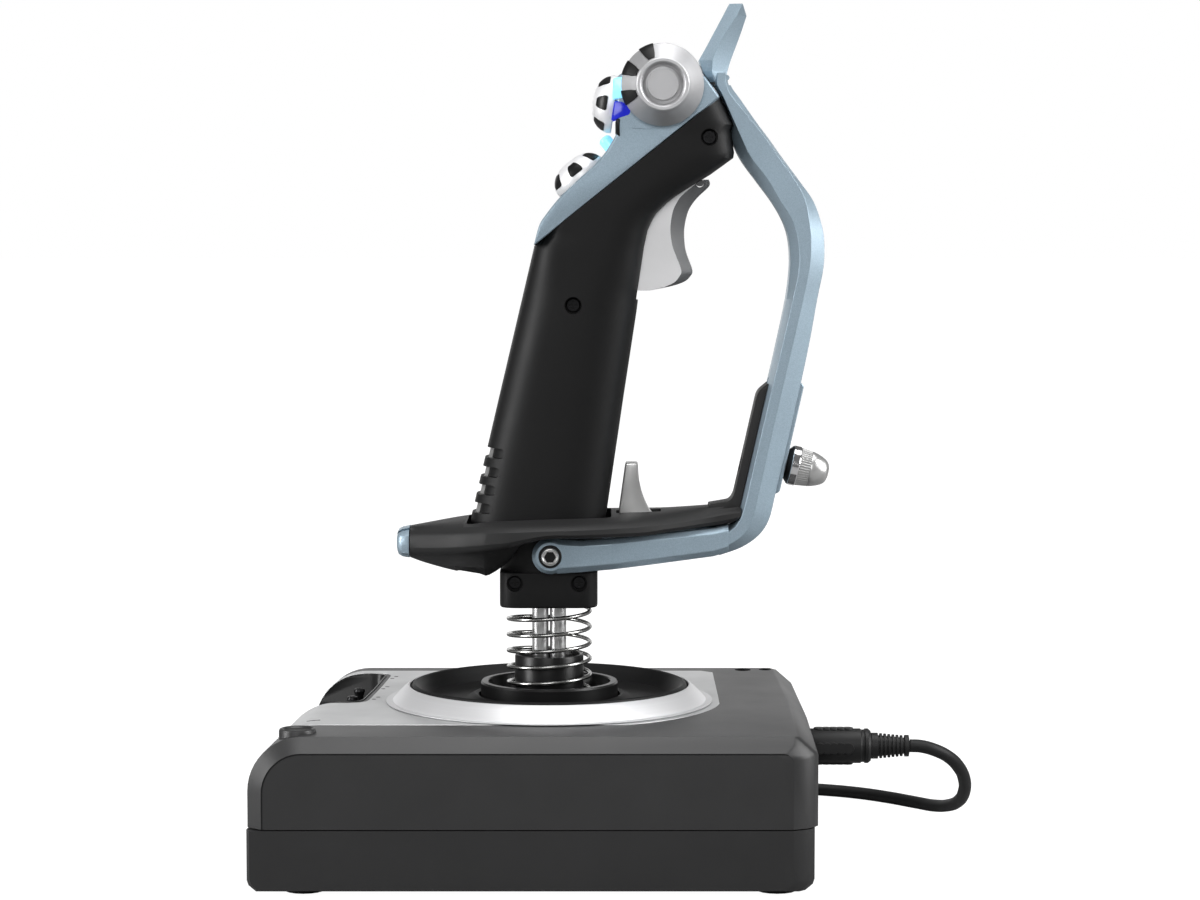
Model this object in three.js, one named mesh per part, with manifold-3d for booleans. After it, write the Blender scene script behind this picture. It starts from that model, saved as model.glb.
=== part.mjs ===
// A flight joystick: a heavy base with a sprung gimbal, a grip that tilts and twists inside
// a hand frame, and a hand rest that slides along the frame.
// Millimetres. +Z is up, +X is the front (away from the user), +Y is the user's left.
// The origin is on the desk, straight below the gimbal's pivot.
import * as THREE from 'three';
import { mergeVertices } from 'three/addons/utils/BufferGeometryUtils.js';
import Module from 'manifold-3d';

const wasm = await Module();
wasm.setup();

// ---- driving dimensions ----
const gap = 0.3;
const base = { back: -104, front: 95, halfWidth: 87, slant: 14, low: 1.5, seam: 23.4, top: 55, wall: 2.6 };
const pivotHeight = 40;
const bowl = { inner: 26, lip: 51.2, skirt: 60, top: 62 };
const cup = { hole: 13.8, outer: 25.2, rim: 22.3, floor: 52, top: 62.5 };
const spring = { radius: 15, wire: 1.5, low: cup.floor + 1.1, high: 91.3, turns: 6.5 };
const collar = { low: 92.4, high: 104, half: 17.8 };
const gripHalf = 17.2;
const headAngle = THREE.MathUtils.degToRad(38.4);
const headCorner = [-2.8, 224.6];
const slideSlope = 0.225;
const frameHalf = 11;
const armBolt = [0.7, 110.8];
const coverHinge = [64.3, 282.8];
const triggerPivot = [55, 245];
const cordRadius = 2.4;
const plugHeight = 38;

// ---- colours and finishes: colour, roughness, metalness ----
const finishes = {
  blackPlastic: [0x2b2b2c, 0.6, 0],
  gripRubber: [0x1e1e1f, 0.75, 0],
  blueMetal: [0x9db8c9, 0.35, 0.7],
  silver: [0xc4c6c8, 0.35, 0.8],
  chrome: [0xd8dadc, 0.12, 1],
  steel: [0x8d9094, 0.4, 0.9],
  whiteSilver: [0xdadbdc, 0.4, 0.4],
  greenBoard: [0x1f5a3a, 0.6, 0],
  litCyan: [0x78dcf0, 0.3, 0],
  litBlue: [0x1414a0, 0.3, 0],
};

function part(parent, name, geometry, finish) {
  const [color, roughness, metalness] = finishes[finish];
  const mesh = new THREE.Mesh(geometry, new THREE.MeshStandardMaterial({ color, roughness, metalness }));
  mesh.name = name;
  parent.add(mesh);
  return mesh;
}

// ---- solids ----
function solid(geometry) {
  const bare = geometry.clone();
  bare.deleteAttribute('normal');
  bare.deleteAttribute('uv');
  const merged = mergeVertices(bare, 1e-3);
  const index = merged.index.array;
  const triangles = [];
  for (let i = 0; i < index.length; i += 3) {
    const [a, b, c] = [index[i], index[i + 1], index[i + 2]];
    if (a !== b && b !== c && c !== a) triangles.push(a, b, c);
  }
  return new wasm.Manifold(new wasm.Mesh({
    numProp: 3,
    vertProperties: new Float32Array(merged.attributes.position.array),
    triVerts: new Uint32Array(triangles),
  }));
}

function geometryOf(manifold) {
  const mesh = manifold.getMesh();
  const geometry = new THREE.BufferGeometry();
  geometry.setAttribute('position', new THREE.BufferAttribute(mesh.vertProperties, 3));
  geometry.setIndex(new THREE.BufferAttribute(mesh.triVerts, 1));
  geometry.computeVertexNormals();
  return geometry;
}

const union = (first, ...others) => others.reduce((sum, other) => sum.add(other), first);
const cut = (first, ...others) => others.reduce((rest, other) => rest.subtract(other), first);

// A shape from corner points; each corner is a round arc where a radius is given.
function outline(points, radius = 0, arcSteps = 3) {
  const corners = points.map(([x, y]) => new THREE.Vector2(x, y));
  if (radius === 0) return new THREE.Shape(corners);
  const count = corners.length;
  return new THREE.Shape(corners.flatMap((corner, i) => {
    const toBefore = corners[(i + count - 1) % count].clone().sub(corner).normalize();
    const toAfter = corners[(i + 1) % count].clone().sub(corner).normalize();
    const halfAngle = Math.acos(toBefore.dot(toAfter)) / 2;
    const bisector = toBefore.clone().add(toAfter).setLength(radius / Math.sin(halfAngle));
    const centre = corner.clone().add(bisector);
    const start = toBefore.clone().setLength(radius / Math.tan(halfAngle)).add(corner);
    const turn = Math.sign(toAfter.cross(toBefore)) * (Math.PI - 2 * halfAngle);
    const arc = [];
    for (let step = 0; step <= arcSteps; step += 1) {
      arc.push(start.clone().rotateAround(centre, (turn * step) / arcSteps));
    }
    return arc;
  }));
}

// Extrudes a shape upwards between two heights, with an optional chamfer on both ends.
function upright(shape, low, high, chamfer = 0, chamferHeight = chamfer) {
  const geometry = new THREE.ExtrudeGeometry(shape, {
    depth: high - low - 2 * chamferHeight,
    curveSegments: 3,
    bevelEnabled: chamfer > 0,
    bevelSize: chamfer,
    bevelOffset: -chamfer,
    bevelThickness: chamferHeight,
    bevelSegments: 1,
  });
  return geometry.translate(0, 0, low + chamferHeight);
}

// Extrudes a side view (X, Z) across the object between two Y values.
function across(points, low, high, chamfer = 0, chamferDepth = chamfer, radius = 0) {
  const geometry = upright(outline(points, radius), -high, -low, chamfer, chamferDepth);
  return geometry.rotateX(Math.PI / 2);
}

// Turns a profile of [radius, height] points about the Z axis. The points run anticlockwise.
function turned(profile, segments = 24) {
  const points = profile.map(([r, z]) => new THREE.Vector2(r, z));
  if (profile[0][0] > 0) points.push(points[0].clone());
  return new THREE.LatheGeometry(points, segments).rotateX(Math.PI / 2);
}

const alongY = (geometry) => geometry.rotateX(Math.PI / 2);
const alongX = (geometry) => geometry.rotateY(Math.PI / 2);

function rod(radius, length, segments = 16) {
  return turned([[0, 0], [radius, 0], [radius, length], [0, length]], segments);
}

function block([x0, x1], [y0, y1], [z0, z1]) {
  const geometry = new THREE.BoxGeometry(x1 - x0, y1 - y0, z1 - z0);
  return geometry.translate((x0 + x1) / 2, (y0 + y1) / 2, (z0 + z1) / 2);
}

// A rod across the object, centred on the side-view point [x, z].
function crossRod(radius, [x, z], low, high, segments = 16) {
  return alongY(rod(radius, high - low, segments)).translate(x, high, z);
}

const joystick = new THREE.Group();

// ---- base shells ----
const slantPerMm = base.slant / (2 * base.halfWidth);
const backAt = (y) => base.back + (y + base.halfWidth) * slantPerMm;

function basePlan(inset) {
  const half = base.halfWidth - inset;
  return outline([
    [backAt(-half) + inset, -half],
    [base.front - inset, -half],
    [base.front - inset, half],
    [backAt(half) + inset, half],
  ], 10 - inset);
}

// The side view of the base, with the user's edge rounded, sheared to follow the slanted back.
function baseSide(inset, low, high, round) {
  const back = base.back + inset;
  const shape = new THREE.Shape();
  shape.moveTo(base.front + 40, low);
  shape.lineTo(base.front + 40, high);
  shape.lineTo(back + round, high);
  if (round > 0) shape.absarc(back + round, high - round, round, Math.PI / 2, Math.PI, false);
  shape.lineTo(back, low);
  const geometry = upright(shape, -base.halfWidth - 5, base.halfWidth + 5).rotateX(Math.PI / 2);
  const shear = new THREE.Matrix4().set(
    1, slantPerMm, 0, base.slant / 2,
    0, 1, 0, 0,
    0, 0, 1, 0,
    0, 0, 0, 1,
  );
  return geometry.applyMatrix4(shear);
}

const edgeRound = 19;
const edgeChamfer = [6.5, 5.5];

function housingBody(inset, low) {
  const high = base.top - inset;
  const plan = upright(basePlan(inset), low - 10, high, ...edgeChamfer);
  const side = baseSide(inset, low, high, edgeRound - inset);
  return solid(plan).intersect(solid(side));
}

function tubBody(inset, low, high) {
  const chamfer = 3.5;
  const plan = upright(basePlan(inset), low, high + 10, chamfer);
  return solid(plan).intersect(solid(block([-200, 200], [-200, 200], [low, high])));
}

const screwSpots = [-62, 60].flatMap((x) => [-70, 70].map((y) => [x, y]));
const footSpots = [[-84, -74], [80, -74], [-74, 74], [80, 74]];
const screwHeadTop = 5.5;

function baseBottomCover() {
  const shell = cut(tubBody(0, base.low, base.seam - gap / 2), tubBody(base.wall, base.low + base.wall, base.seam + 9));
  const bosses = screwSpots.map(([x, y]) => solid(rod(5, 15, 12).translate(x, y, base.low + 1)));
  const holes = screwSpots.flatMap(([x, y]) => [
    solid(rod(2.3, 30, 12).translate(x, y, -1)),
    solid(rod(4.1, screwHeadTop, 12).translate(x, y, 0)),
  ]);
  return cut(union(shell, ...bosses), ...holes);
}

// The silver plate's outline: straight sides, and an arc round the skirt at its front right.
function platePlan(grow) {
  const arc = [];
  for (let angle = -62; angle <= -8; angle += 9) {
    const a = THREE.MathUtils.degToRad(angle);
    arc.push([(bowl.skirt + 2.5 + grow) * Math.cos(a), (bowl.skirt + 2.5 + grow) * Math.sin(a)]);
  }
  return outline([
    [base.back - 20, -55 - grow],
    ...arc,
    [62.5 + grow, 8],
    [62.5 + grow, 69 + grow],
    [58 + grow, 73 + grow],
    [base.back - 20, 73 + grow],
  ]);
}

const plateLow = 41;
const pocket = { near: -6, far: 65, floor: 41.6, wall: 1.6 };

function pocketPlan(inset) {
  return outline([
    [base.back - 20, pocket.near + inset],
    [-68 - inset, pocket.near + inset],
    [-63.5 - inset, pocket.far - inset],
    [base.back - 20, pocket.far - inset],
  ]);
}

function plateLayer(outer, inner, grow) {
  const layer = cut(housingBody(outer, 20), housingBody(inner, 10));
  return layer.intersect(solid(upright(platePlan(grow), plateLow - grow, 80)));
}

const housing = cut(
  union(
    cut(housingBody(0, base.seam + gap / 2), housingBody(base.wall, 10)),
    ...screwSpots.map(([x, y]) => solid(rod(4.6, 30, 12).translate(x, y, base.top - base.wall - 29.5))),
  ),
  ...screwSpots.map(([x, y]) => solid(rod(2.1, 20, 12).translate(x, y, 20))),
  plateLayer(-1, 1.2, gap),
  solid(upright(pocketPlan(0), pocket.floor - pocket.wall - gap, 80)),
  solid(rod(bowl.inner, 30, 32).translate(0, 0, 40)),
  solid(alongX(rod(7.3, 20, 16)).translate(base.front - 10, 0, plugHeight)),
);
part(joystick, 'base_top_housing', geometryOf(housing), 'blackPlastic');
part(joystick, 'base_bottom_cover', geometryOf(baseBottomCover()), 'blackPlastic');

const plate = cut(
  plateLayer(0, 0.9, 0),
  solid(rod(bowl.lip - 1, 60, 32)),
  solid(upright(pocketPlan(-gap), pocket.floor - 3, 80)),
);
part(joystick, 'deck_plate', geometryOf(plate), 'silver');

const tray = cut(
  housingBody(0, 20).intersect(solid(upright(pocketPlan(gap), pocket.floor - pocket.wall, 80))),
  solid(upright(pocketPlan(gap + pocket.wall), pocket.floor, 80)),
);
part(joystick, 'toggle_pocket', geometryOf(tray), 'blackPlastic');

footSpots.forEach(([x, y], i) => {
  const foot = part(joystick, `rubber_foot_${i + 1}`, rod(7, base.low - 0.2, 16), 'gripRubber');
  foot.position.set(x, y, 0);
});

screwSpots.forEach(([x, y], i) => {
  const profile = [[0, 2.6], [3.6, 2.6], [3.6, 5.1], [1.7, 5.1], [1.7, 30], [0, 30]];
  const screw = part(joystick, `base_screw_${i + 1}`, turned(profile, 12), 'steel');
  screw.position.set(x, y, 0);
});

// ---- toggles in the pocket ----
[10, 30, 50].forEach((y, i) => {
  const lever = [[0, -2.4], [2.4, -1.2], [2.4, 1.2], [1.4, 2.4], [2.2, 6.2], [1.4, 7.2], [0, 7.2]];
  const toggle = part(joystick, `toggle_${i + 1}`, turned(lever, 12), 'silver');
  toggle.position.set(-76 + i * 1.2, y, 44.6);
});

// ---- bowl, skirt and centring cup ----
const seatHeight = base.top + 0.4;
part(joystick, 'stick_bowl', turned([
  [bowl.inner, seatHeight], [bowl.lip - 0.3, seatHeight], [bowl.lip - 0.3, bowl.top - 0.4],
  [50, bowl.top], [48.6, bowl.top - 0.5], [45, 57], [40, 56.3], [31, 56.3], [27.6, 57.7], [bowl.inner, 57.7],
], 40), 'blackPlastic');
part(joystick, 'bowl_skirt_ring', turned([
  [bowl.lip + 0.1, seatHeight], [bowl.skirt, seatHeight], [59.4, 56.6], [53.5, 60.6], [bowl.lip + 0.1, 61.2],
], 40), 'silver');
part(joystick, 'centring_cup', turned([
  [cup.hole, cup.floor - 1.8], [cup.outer, cup.floor - 1.8], [cup.outer, cup.top],
  [cup.rim, cup.top], [cup.rim, 60], [20, cup.floor], [cup.hole, cup.floor],
], 32), 'blackPlastic');

// ---- gimbal ----
const ring = { inner: 14, outer: 19, half: 4 };
const pin = { radius: 2.5, bore: 2.8 };
const post = { near: 22, far: 30, half: 8 };
const cageFloor = base.low + base.wall + gap;

function gimbalCage() {
  const plateBlock = solid(block([-24, 24], [-34, 34], [cageFloor, cageFloor + 3]));
  const postTop = cup.floor - 1.8 - gap;
  const posts = [[post.near, post.far], [-post.far, -post.near]].map(
    (y) => solid(block([-post.half, post.half], y, [cageFloor + 1, postTop])),
  );
  const bore = solid(crossRod(pin.bore, [0, pivotHeight], -40, 40));
  return cut(union(plateBlock, ...posts), bore);
}
part(joystick, 'gimbal_cage', geometryOf(gimbalCage()), 'steel');

const gimbal = new THREE.Group();
gimbal.position.z = pivotHeight;
joystick.add(gimbal);

const ringBody = turned([
  [ring.inner, -ring.half], [ring.outer, -ring.half], [ring.outer, ring.half], [ring.inner, ring.half],
], 24);
const ringSolid = cut(
  union(
    solid(ringBody),
    solid(crossRod(pin.radius, [0, 0], ring.outer - 1, post.far - 0.5)),
    solid(crossRod(pin.radius, [0, 0], 0.5 - post.far, 1 - ring.outer)),
  ),
  solid(alongX(rod(pin.bore, 60, 16)).translate(-30, 0, 0)),
);
part(gimbal, 'gimbal_ring', geometryOf(ringSolid), 'steel');
part(gimbal, 'roll_sensor', block([ring.outer + gap, 24], [-6, 6], [-4, 3]), 'greenBoard');

const sleeve = { bore: 7.4, low: -10, neck: 8.6, shoulder: 18, outer: 12.6, high: 32.4 };
const sleeveSolid = union(
  solid(turned([
    [sleeve.bore, sleeve.low], [9, sleeve.low], [9, 4], [sleeve.neck, 6], [sleeve.neck, sleeve.shoulder],
    [sleeve.outer, sleeve.shoulder + 2], [sleeve.outer, sleeve.high], [sleeve.bore, sleeve.high],
  ])),
  solid(alongX(rod(pin.radius, 10.3)).translate(8.2, 0, 0)),
  solid(alongX(rod(pin.radius, 10.3)).translate(-18.5, 0, 0)),
);
part(gimbal, 'stick_sleeve', geometryOf(sleeveSolid), 'blackPlastic');
part(gimbal, 'sleeve_end_cap', turned([
  [0, -20], [11, -20], [11, sleeve.low - 0.4], [9.5, sleeve.low - 0.4], [9.5, -14.4], [0, -14.4],
]), 'blackPlastic');
const coreTop = 19.7;
part(gimbal, 'twist_core', turned([
  [0, -14], [9, -14], [9, sleeve.low - 0.4], [7.1, sleeve.low - 0.4], [7.1, coreTop], [0, coreTop],
]), 'steel');
part(joystick, 'pitch_sensor', block([-7, 7], [post.far + gap, 36], [34, 46]), 'greenBoard');
part(joystick, 'main_circuit_board', block([-84, -36], [-50, 40], [8, 9.6]), 'greenBoard');
part(joystick, 'ballast_plate', block([34, 84], [-60, 60], [cageFloor, 10]), 'steel');

// ---- shafts and centring spring ----
const shaftLow = pivotHeight + coreTop + gap;
[['shaft_front', 1], ['shaft_rear', -1]].forEach(([name, side]) => {
  const shaft = part(joystick, name, rod(3, collar.low - gap - shaftLow, 16), 'chrome');
  shaft.position.set(side * 3.25, 0, shaftLow);
});

class Helix extends THREE.Curve {
  getPoint(t, target = new THREE.Vector3()) {
    const angle = t * spring.turns * 2 * Math.PI;
    const height = spring.low + t * (spring.high - spring.low);
    return target.set(spring.radius * Math.cos(angle), spring.radius * Math.sin(angle), height);
  }
}

function circleShape(radius, sides) {
  const points = [];
  for (let i = 0; i < sides; i += 1) {
    const angle = (i / sides) * 2 * Math.PI;
    points.push([radius * Math.cos(angle), radius * Math.sin(angle)]);
  }
  return outline(points);
}

part(joystick, 'centring_spring', new THREE.ExtrudeGeometry(circleShape(spring.wire / 2, 6), {
  extrudePath: new Helix(), steps: 78, bevelEnabled: false,
}), 'chrome');

// ---- neck collar and grip shells ----
const collarPlan = outline([
  [-collar.half, -collar.half], [collar.half, -collar.half], [collar.half, collar.half], [-collar.half, collar.half],
], 7);
part(joystick, 'neck_collar', upright(collarPlan, collar.low, collar.high, 1.2), 'blackPlastic');

const gripSide = [
  [17.5, collar.high + gap], [17.5, 108], [20, 117], [27.1, 165.8], [32.1, 198.7], [34.9, 221.7], [38.7, 233.4],
  [44.2, 238.8], [58.7, 247.9], [67.8, 254.4], [65.9, 263.8], [67.4, 266], [62.1, 276.1],
  headCorner, [-5, 222.4], [-28.6, 123], [-29.5, 119.5], [-18, 106], [-17.5, collar.high + gap],
];
const gripCore = [
  [12, 112], [18, 140], [21, 165], [18, 205], [22, 237], [57, 262], [57, 266], [2, 222], [-1, 216], [-20, 136], [-14, 112],
];
const triggerSlot = [[64, 249], [55, 252], [36, 243], [25.5, 232], [23.5, 202.5], [45, 202.5], [62, 230]];
const gripBlank = cut(
  solid(across(gripSide, -gripHalf, gripHalf, 4, 8)),
  solid(across(gripCore, 3 - gripHalf, gripHalf - 3)),
  solid(across(triggerSlot, -6.6, 6.6)),
);
const rightSide = solid(block([-60, 90], [-40, -gap / 2], [90, 300]));
const leftSide = solid(block([-60, 90], [gap / 2, 40], [90, 300]));
part(joystick, 'grip_right_shell', geometryOf(gripBlank.intersect(rightSide)), 'gripRubber');
part(joystick, 'grip_left_shell', geometryOf(gripBlank.intersect(leftSide)), 'gripRubber');

// ---- head: its local X runs forwards and up along the seam, its local Z stands off the seam ----
const head = new THREE.Group();
head.position.set(headCorner[0], 0, headCorner[1]);
head.rotation.y = -headAngle;
head.updateMatrix();
joystick.add(head);

// A side-view point of the object, in the head's local axes.
function inHead([x, z]) {
  const dx = x - headCorner[0];
  const dz = z - headCorner[1];
  return [
    dx * Math.cos(headAngle) + dz * Math.sin(headAngle),
    dz * Math.cos(headAngle) - dx * Math.sin(headAngle),
  ];
}

const coverHalf = 15.6;
const hatPost = [24.6, 273.4];
const hatRecess = { radius: 11.9, depth: 3.9 };
const launch = { radius: 2.2, low: 80.5, high: 84.6, height: 6.4 };
const coverSide = [
  [-2.8, gap], [82.4, gap], inHead([56.2, 283.6]), inHead([50, 287.5]), inHead([31, 286]),
  inHead([hatPost[0], 283.5]), inHead([hatPost[0], 262.5]), [36, 9.3], [25, 8.6], [14, 7.6], [5, 4.4],
];
const fireButton = { u: 40.6, radius: 2.4, low: 7, high: 15 };
const lowerHat = { u: 25.3, floor: 5.8, pivot: 8.2 };
const coverSolid = cut(
  solid(across(coverSide, -coverHalf, coverHalf, 1.6)),
  solid(block([14, 72], [-12, 12], [-1, 3.6])),
  solid(rod(hatRecess.radius, 12, 32).translate(lowerHat.u, 0, lowerHat.floor)),
  solid(rod(fireButton.radius + gap, 30, 16).translate(fireButton.u, 0, 2)),
  solid(rod(2, 30, 12).translate(lowerHat.u, 0, 2)),
  solid(alongX(rod(launch.radius + gap, 9, 12)).translate(launch.low - 2.2, 0, launch.height)),
);
const upperRecess = alongX(rod(hatRecess.radius, 12, 32))
  .translate(hatPost[0] + hatRecess.depth - 12, 0, hatPost[1])
  .applyMatrix4(head.matrix.clone().invert());
part(head, 'head_cover', geometryOf(cut(coverSolid, solid(upperRecess))), 'blueMetal');
const fire = part(head, 'fire_button', rod(fireButton.radius, fireButton.high - fireButton.low, 16), 'litCyan');
fire.position.set(fireButton.u, 0, fireButton.low);

// An eight-way hat: a domed cap over a rocker, both centred on the hat's pivot.
const hatDome = [
  [0, 2.2], [3, 2.2], [8.4, 1.6], [9.2, -0.6], [10.4, -0.6], [10.5, 1], [9.6, 3.6], [7.4, 5.8], [4, 7.2], [0, 7.6],
];
function hat(parent, name) {
  part(parent, `${name}_cap`, turned(hatDome, 24), 'whiteSilver');
  part(parent, `${name}_rocker`, rod(4, 2, 16).translate(0, 0, -0.8), 'blackPlastic');
}
const lowerHatMount = new THREE.Group();
lowerHatMount.position.set(lowerHat.u, 0, lowerHat.pivot);
head.add(lowerHatMount);
hat(lowerHatMount, 'lower_hat');

const upperHatMount = new THREE.Group();
upperHatMount.position.set(hatPost[0] - 0.4, 0, hatPost[1]);
upperHatMount.rotation.y = -Math.PI / 2 + THREE.MathUtils.degToRad(8);
joystick.add(upperHatMount);
hat(upperHatMount, 'upper_hat');
const lightRing = alongX(turned([[8.6, 0], [10.9, 0], [10.9, 0.6], [8.6, 0.6]], 24));
part(joystick, 'hat_light_ring', lightRing.translate(hatPost[0] + hatRecess.depth - 0.9, 0, hatPost[1]), 'litBlue');

// ---- mode dial on the right side of the head ----
const dial = { centre: [41.1, 280.1], inner: -coverHalf - 0.4 };
const dialProfile = [
  [0, 0], [13.6, 0], [14.8, 1.4], [14.8, 3.4], [9.6, 9], [9.4, 11], [7.8, 11], [7.6, 9.6], [0, 9.6],
];
const dialMesh = part(joystick, 'mode_dial', alongY(turned(dialProfile, 28)), 'silver');
dialMesh.position.set(dial.centre[0], dial.inner, dial.centre[1]);

// ---- launch button under a flip-up safety cover ----
const launchLength = launch.high - launch.low;
const launchMesh = part(head, 'launch_button', alongX(rod(launch.radius, launchLength, 16)), 'litCyan');
launchMesh.position.set(launch.low, 0, launch.height);

const coverFin = [
  [54.6, 288.8], [57.1, 290.9], [66.9, 309.6], [68.7, 309.6], [72, 306.1], [66.3, 284.5],
  [66, 281.9], [64.3, 280.9], [62.2, 281.2], [61.4, 282.6], [57.2, 286.6],
];
const safetyCover = cut(
  solid(across(coverFin, -8, 8, 0.8)),
  solid(block([50, 61.4], [-3.8, 3.8], [270, 287.4])),
  solid(crossRod(1.3, coverHinge, -20, 20, 12)),
);
part(joystick, 'safety_cover', geometryOf(safetyCover), 'blueMetal');
part(joystick, 'cover_hinge_pin', crossRod(1, coverHinge, -10.8, 10.8, 12), 'steel');

// ---- hand frame: one bow with two arms, and a rib along its inner side ----
const frameInnerAt = (z) => 79.6 + slideSlope * (z - 171.3);
const frameOuter = [
  [64.6, 284.6], [66.3, 279.4], [87.8, 249.7], [97, 237], [100, 226.1], [99.7, 213.3],
  [frameInnerAt(173) + 12, 173], [frameInnerAt(127) + 12, 127], [76.6, 116], [68.3, 110.4], [55.4, 107.6],
  [33.4, 105.6], [9.5, 104.2], [armBolt[0], 104.1], [-3.8, 106], [-5.9, armBolt[1]],
];
const armTop = [[-3.8, 115.6], [armBolt[0], 117.5], [12, 115.2], [33.4, 115.6], [60, 116.9]];
const bowTop = [[68.6, 253.6], [68.3, 254.4], [66.5, 263.8], [68, 266], [62.9, 276.6], [60.9, 279.4], [62.2, 284.6]];

function frameSide(rib) {
  return [
    ...frameOuter,
    ...armTop,
    [68.2 + rib, 121.7 - rib], [frameInnerAt(130.9) + rib, 130.9], [frameInnerAt(199) + rib, 199],
    [87.8 + rib, 217], [87.2 + rib, 226.1], [82.4 + rib, 237 + rib], ...bowTop,
  ];
}

const ribDepth = 2.8;
const ribHalf = 5;
const armPlan = (side) => outline([
  [78, 11 * side], [64, 11 * side], [24, 23.5 * side], [-8, 23.5 * side],
  [-8, 18.5 * side], [22, 18.5 * side], [62, 5 * side], [78, 5 * side],
]);
const bowBox = union(
  solid(block([66, 110], [-frameHalf, frameHalf], [95, 300])),
  solid(block([40, 110], [-frameHalf, frameHalf], [125, 300])),
);
const arms = union(
  solid(upright(armPlan(-1), 95, 125.5)),
  solid(upright(armPlan(1), 95, 125.5)),
);
const bow = solid(across(frameSide(ribDepth), -30, 30)).intersect(bowBox.add(arms));
const rib = solid(across(frameSide(0), -ribHalf, ribHalf)).intersect(
  solid(block([66, 110], [-ribHalf, ribHalf], [118, 270])),
);
const slot = { half: 2.6, low: 137, high: 174 };
const frameSolid = cut(
  union(bow, rib),
  solid(block([60, 110], [-slot.half, slot.half], [slot.low, slot.high])),
  solid(block([50, 80], [-8.6, 8.6], [280.2, 300])),
  solid(crossRod(1.35, coverHinge, -20, 20, 12)),
  solid(crossRod(pin.bore, armBolt, -40, 40)),
);
part(joystick, 'hand_frame', geometryOf(frameSolid), 'blueMetal');

const slotPlateSide = [
  [frameInnerAt(131.6) + 12.35, 131.6], [frameInnerAt(131.6) + 13.8, 132.4],
  [frameInnerAt(172.6) + 13.8, 171.8], [frameInnerAt(172.6) + 12.35, 172.6],
];
const slotPlate = cut(
  solid(across(slotPlateSide, -6.5, 6.5)),
  solid(block([60, 110], [-slot.half, slot.half], [slot.low, slot.high - 3])),
);
part(joystick, 'slot_plate', geometryOf(slotPlate), 'blueMetal');

[['arm_bolt_right', -1], ['arm_bolt_left', 1]].forEach(([name, side]) => {
  const profile = [[0, 17.6], [2.4, 17.6], [2.4, 23.8], [3.9, 23.8], [3.9, 26], [2, 26], [2, 24.6], [0, 24.6]];
  const bolt = part(joystick, name, alongY(turned(profile, 16)), 'steel');
  bolt.position.set(armBolt[0], 0, armBolt[1]);
  bolt.rotation.x = side > 0 ? Math.PI : 0;
});

// ---- trigger ----
const triggerSide = [
  [58.2, 246.6], [58.7, 243.9], [55.5, 241], [51.5, 236.3], [49.7, 231.2], [49.3, 225], [50.4, 218.8], [52.6, 212.6],
  [49.7, 209], [44.6, 207.5], [37.3, 206], [30.5, 205.7], [30, 218], [32, 230], [40, 240], [52, 247.6],
];
const triggerSolid = cut(solid(across(triggerSide, -6, 6, 0.8)), solid(crossRod(1.6, triggerPivot, -10, 10, 12)));
part(joystick, 'trigger', geometryOf(triggerSolid), 'whiteSilver');
part(joystick, 'trigger_pin', crossRod(1.3, triggerPivot, -6.4, 6.4, 12), 'steel');

// ---- sliding hand rest ----
const restPlan = outline([
  [-50.7, -10.5], [-30, -26], [-12, -33], [8, -33], [30, -27], [50, -16], [66, -10.6],
  [70, -10.6], [70, 10.6], [66, 10.6], [50, 16], [30, 27], [8, 33], [-12, 33], [-30, 26], [-50.7, 10.5],
]);
const restSide = [
  [-50.7, 119.8], [-50.7, 108], [-34, 105], [-21.4, 103.6], [-10.3, 112], [-8.6, 118.2], [59, 118.3],
  [66, 122.2], [69, 130.9], [66.6, 129.2], [58.7, 126.1], [24.2, 124.8], [-29, 122.8],
];
const tongueFront = (z) => frameInnerAt(z) + ribDepth - 0.4;
const tongueBack = (z) => frameInnerAt(z) - 1.3;
const tongueSide = [
  [63.5, 124], [66, 122.2], [69, 126.2], [frameInnerAt(130) - 0.4, 130], [tongueFront(134), 134],
  [tongueFront(172), 172], [tongueBack(169), 169], [tongueBack(134), 134], [66.6, 129.2], [63.5, 127.5],
];
const ribGroove = [
  [frameInnerAt(120) - 0.4, 120], [120, 120], [120, 180], [frameInnerAt(180) - 0.4, 180],
];
const restHole = [[22.8, 128], [22.8, 100], [-33.8 - 0.9, 100], [-33.8 - 0.9 + 28 * slideSlope, 128]];
const leverSlot = [[24.6, 116], [41, 116], [41, 130], [24.6, 130]];
const lockHeight = 142.3;
const rest = cut(
  union(
    solid(across(restSide, -40, 40)).intersect(solid(upright(restPlan, 100, 135))),
    solid(across(tongueSide, -10.5, 10.5)),
  ),
  solid(across(restHole, -18.3, 18.3)),
  solid(across(leverSlot, -5.2, 5.2)),
  solid(across(ribGroove, -ribHalf - 0.4, ribHalf + 0.4)),
  solid(block([60, 90], [-2.6, 2.6], [lockHeight - 2.6, lockHeight + 2.6])),
);
part(joystick, 'handrest_platform', geometryOf(rest), 'blackPlastic');
part(joystick, 'rear_cap', across([[-51, 119.7], [-55.5, 118.4], [-55.5, 109.5], [-51, 108.1]], -10, 10, 0.8), 'blueMetal');

const leverSide = [
  [28.9, 143], [27.8, 139.8], [26.6, 132], [25.7, 125], [26.6, 120.4], [30.5, 118.6], [36, 118.8],
  [38.6, 123.4], [36.9, 125.6], [34.7, 129.7], [33.4, 135.3], [32.8, 139.8], [32.3, 142.8],
];
part(joystick, 'pinkie_lever', across(leverSide, -4.6, 4.6, 0.8), 'chrome');

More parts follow.
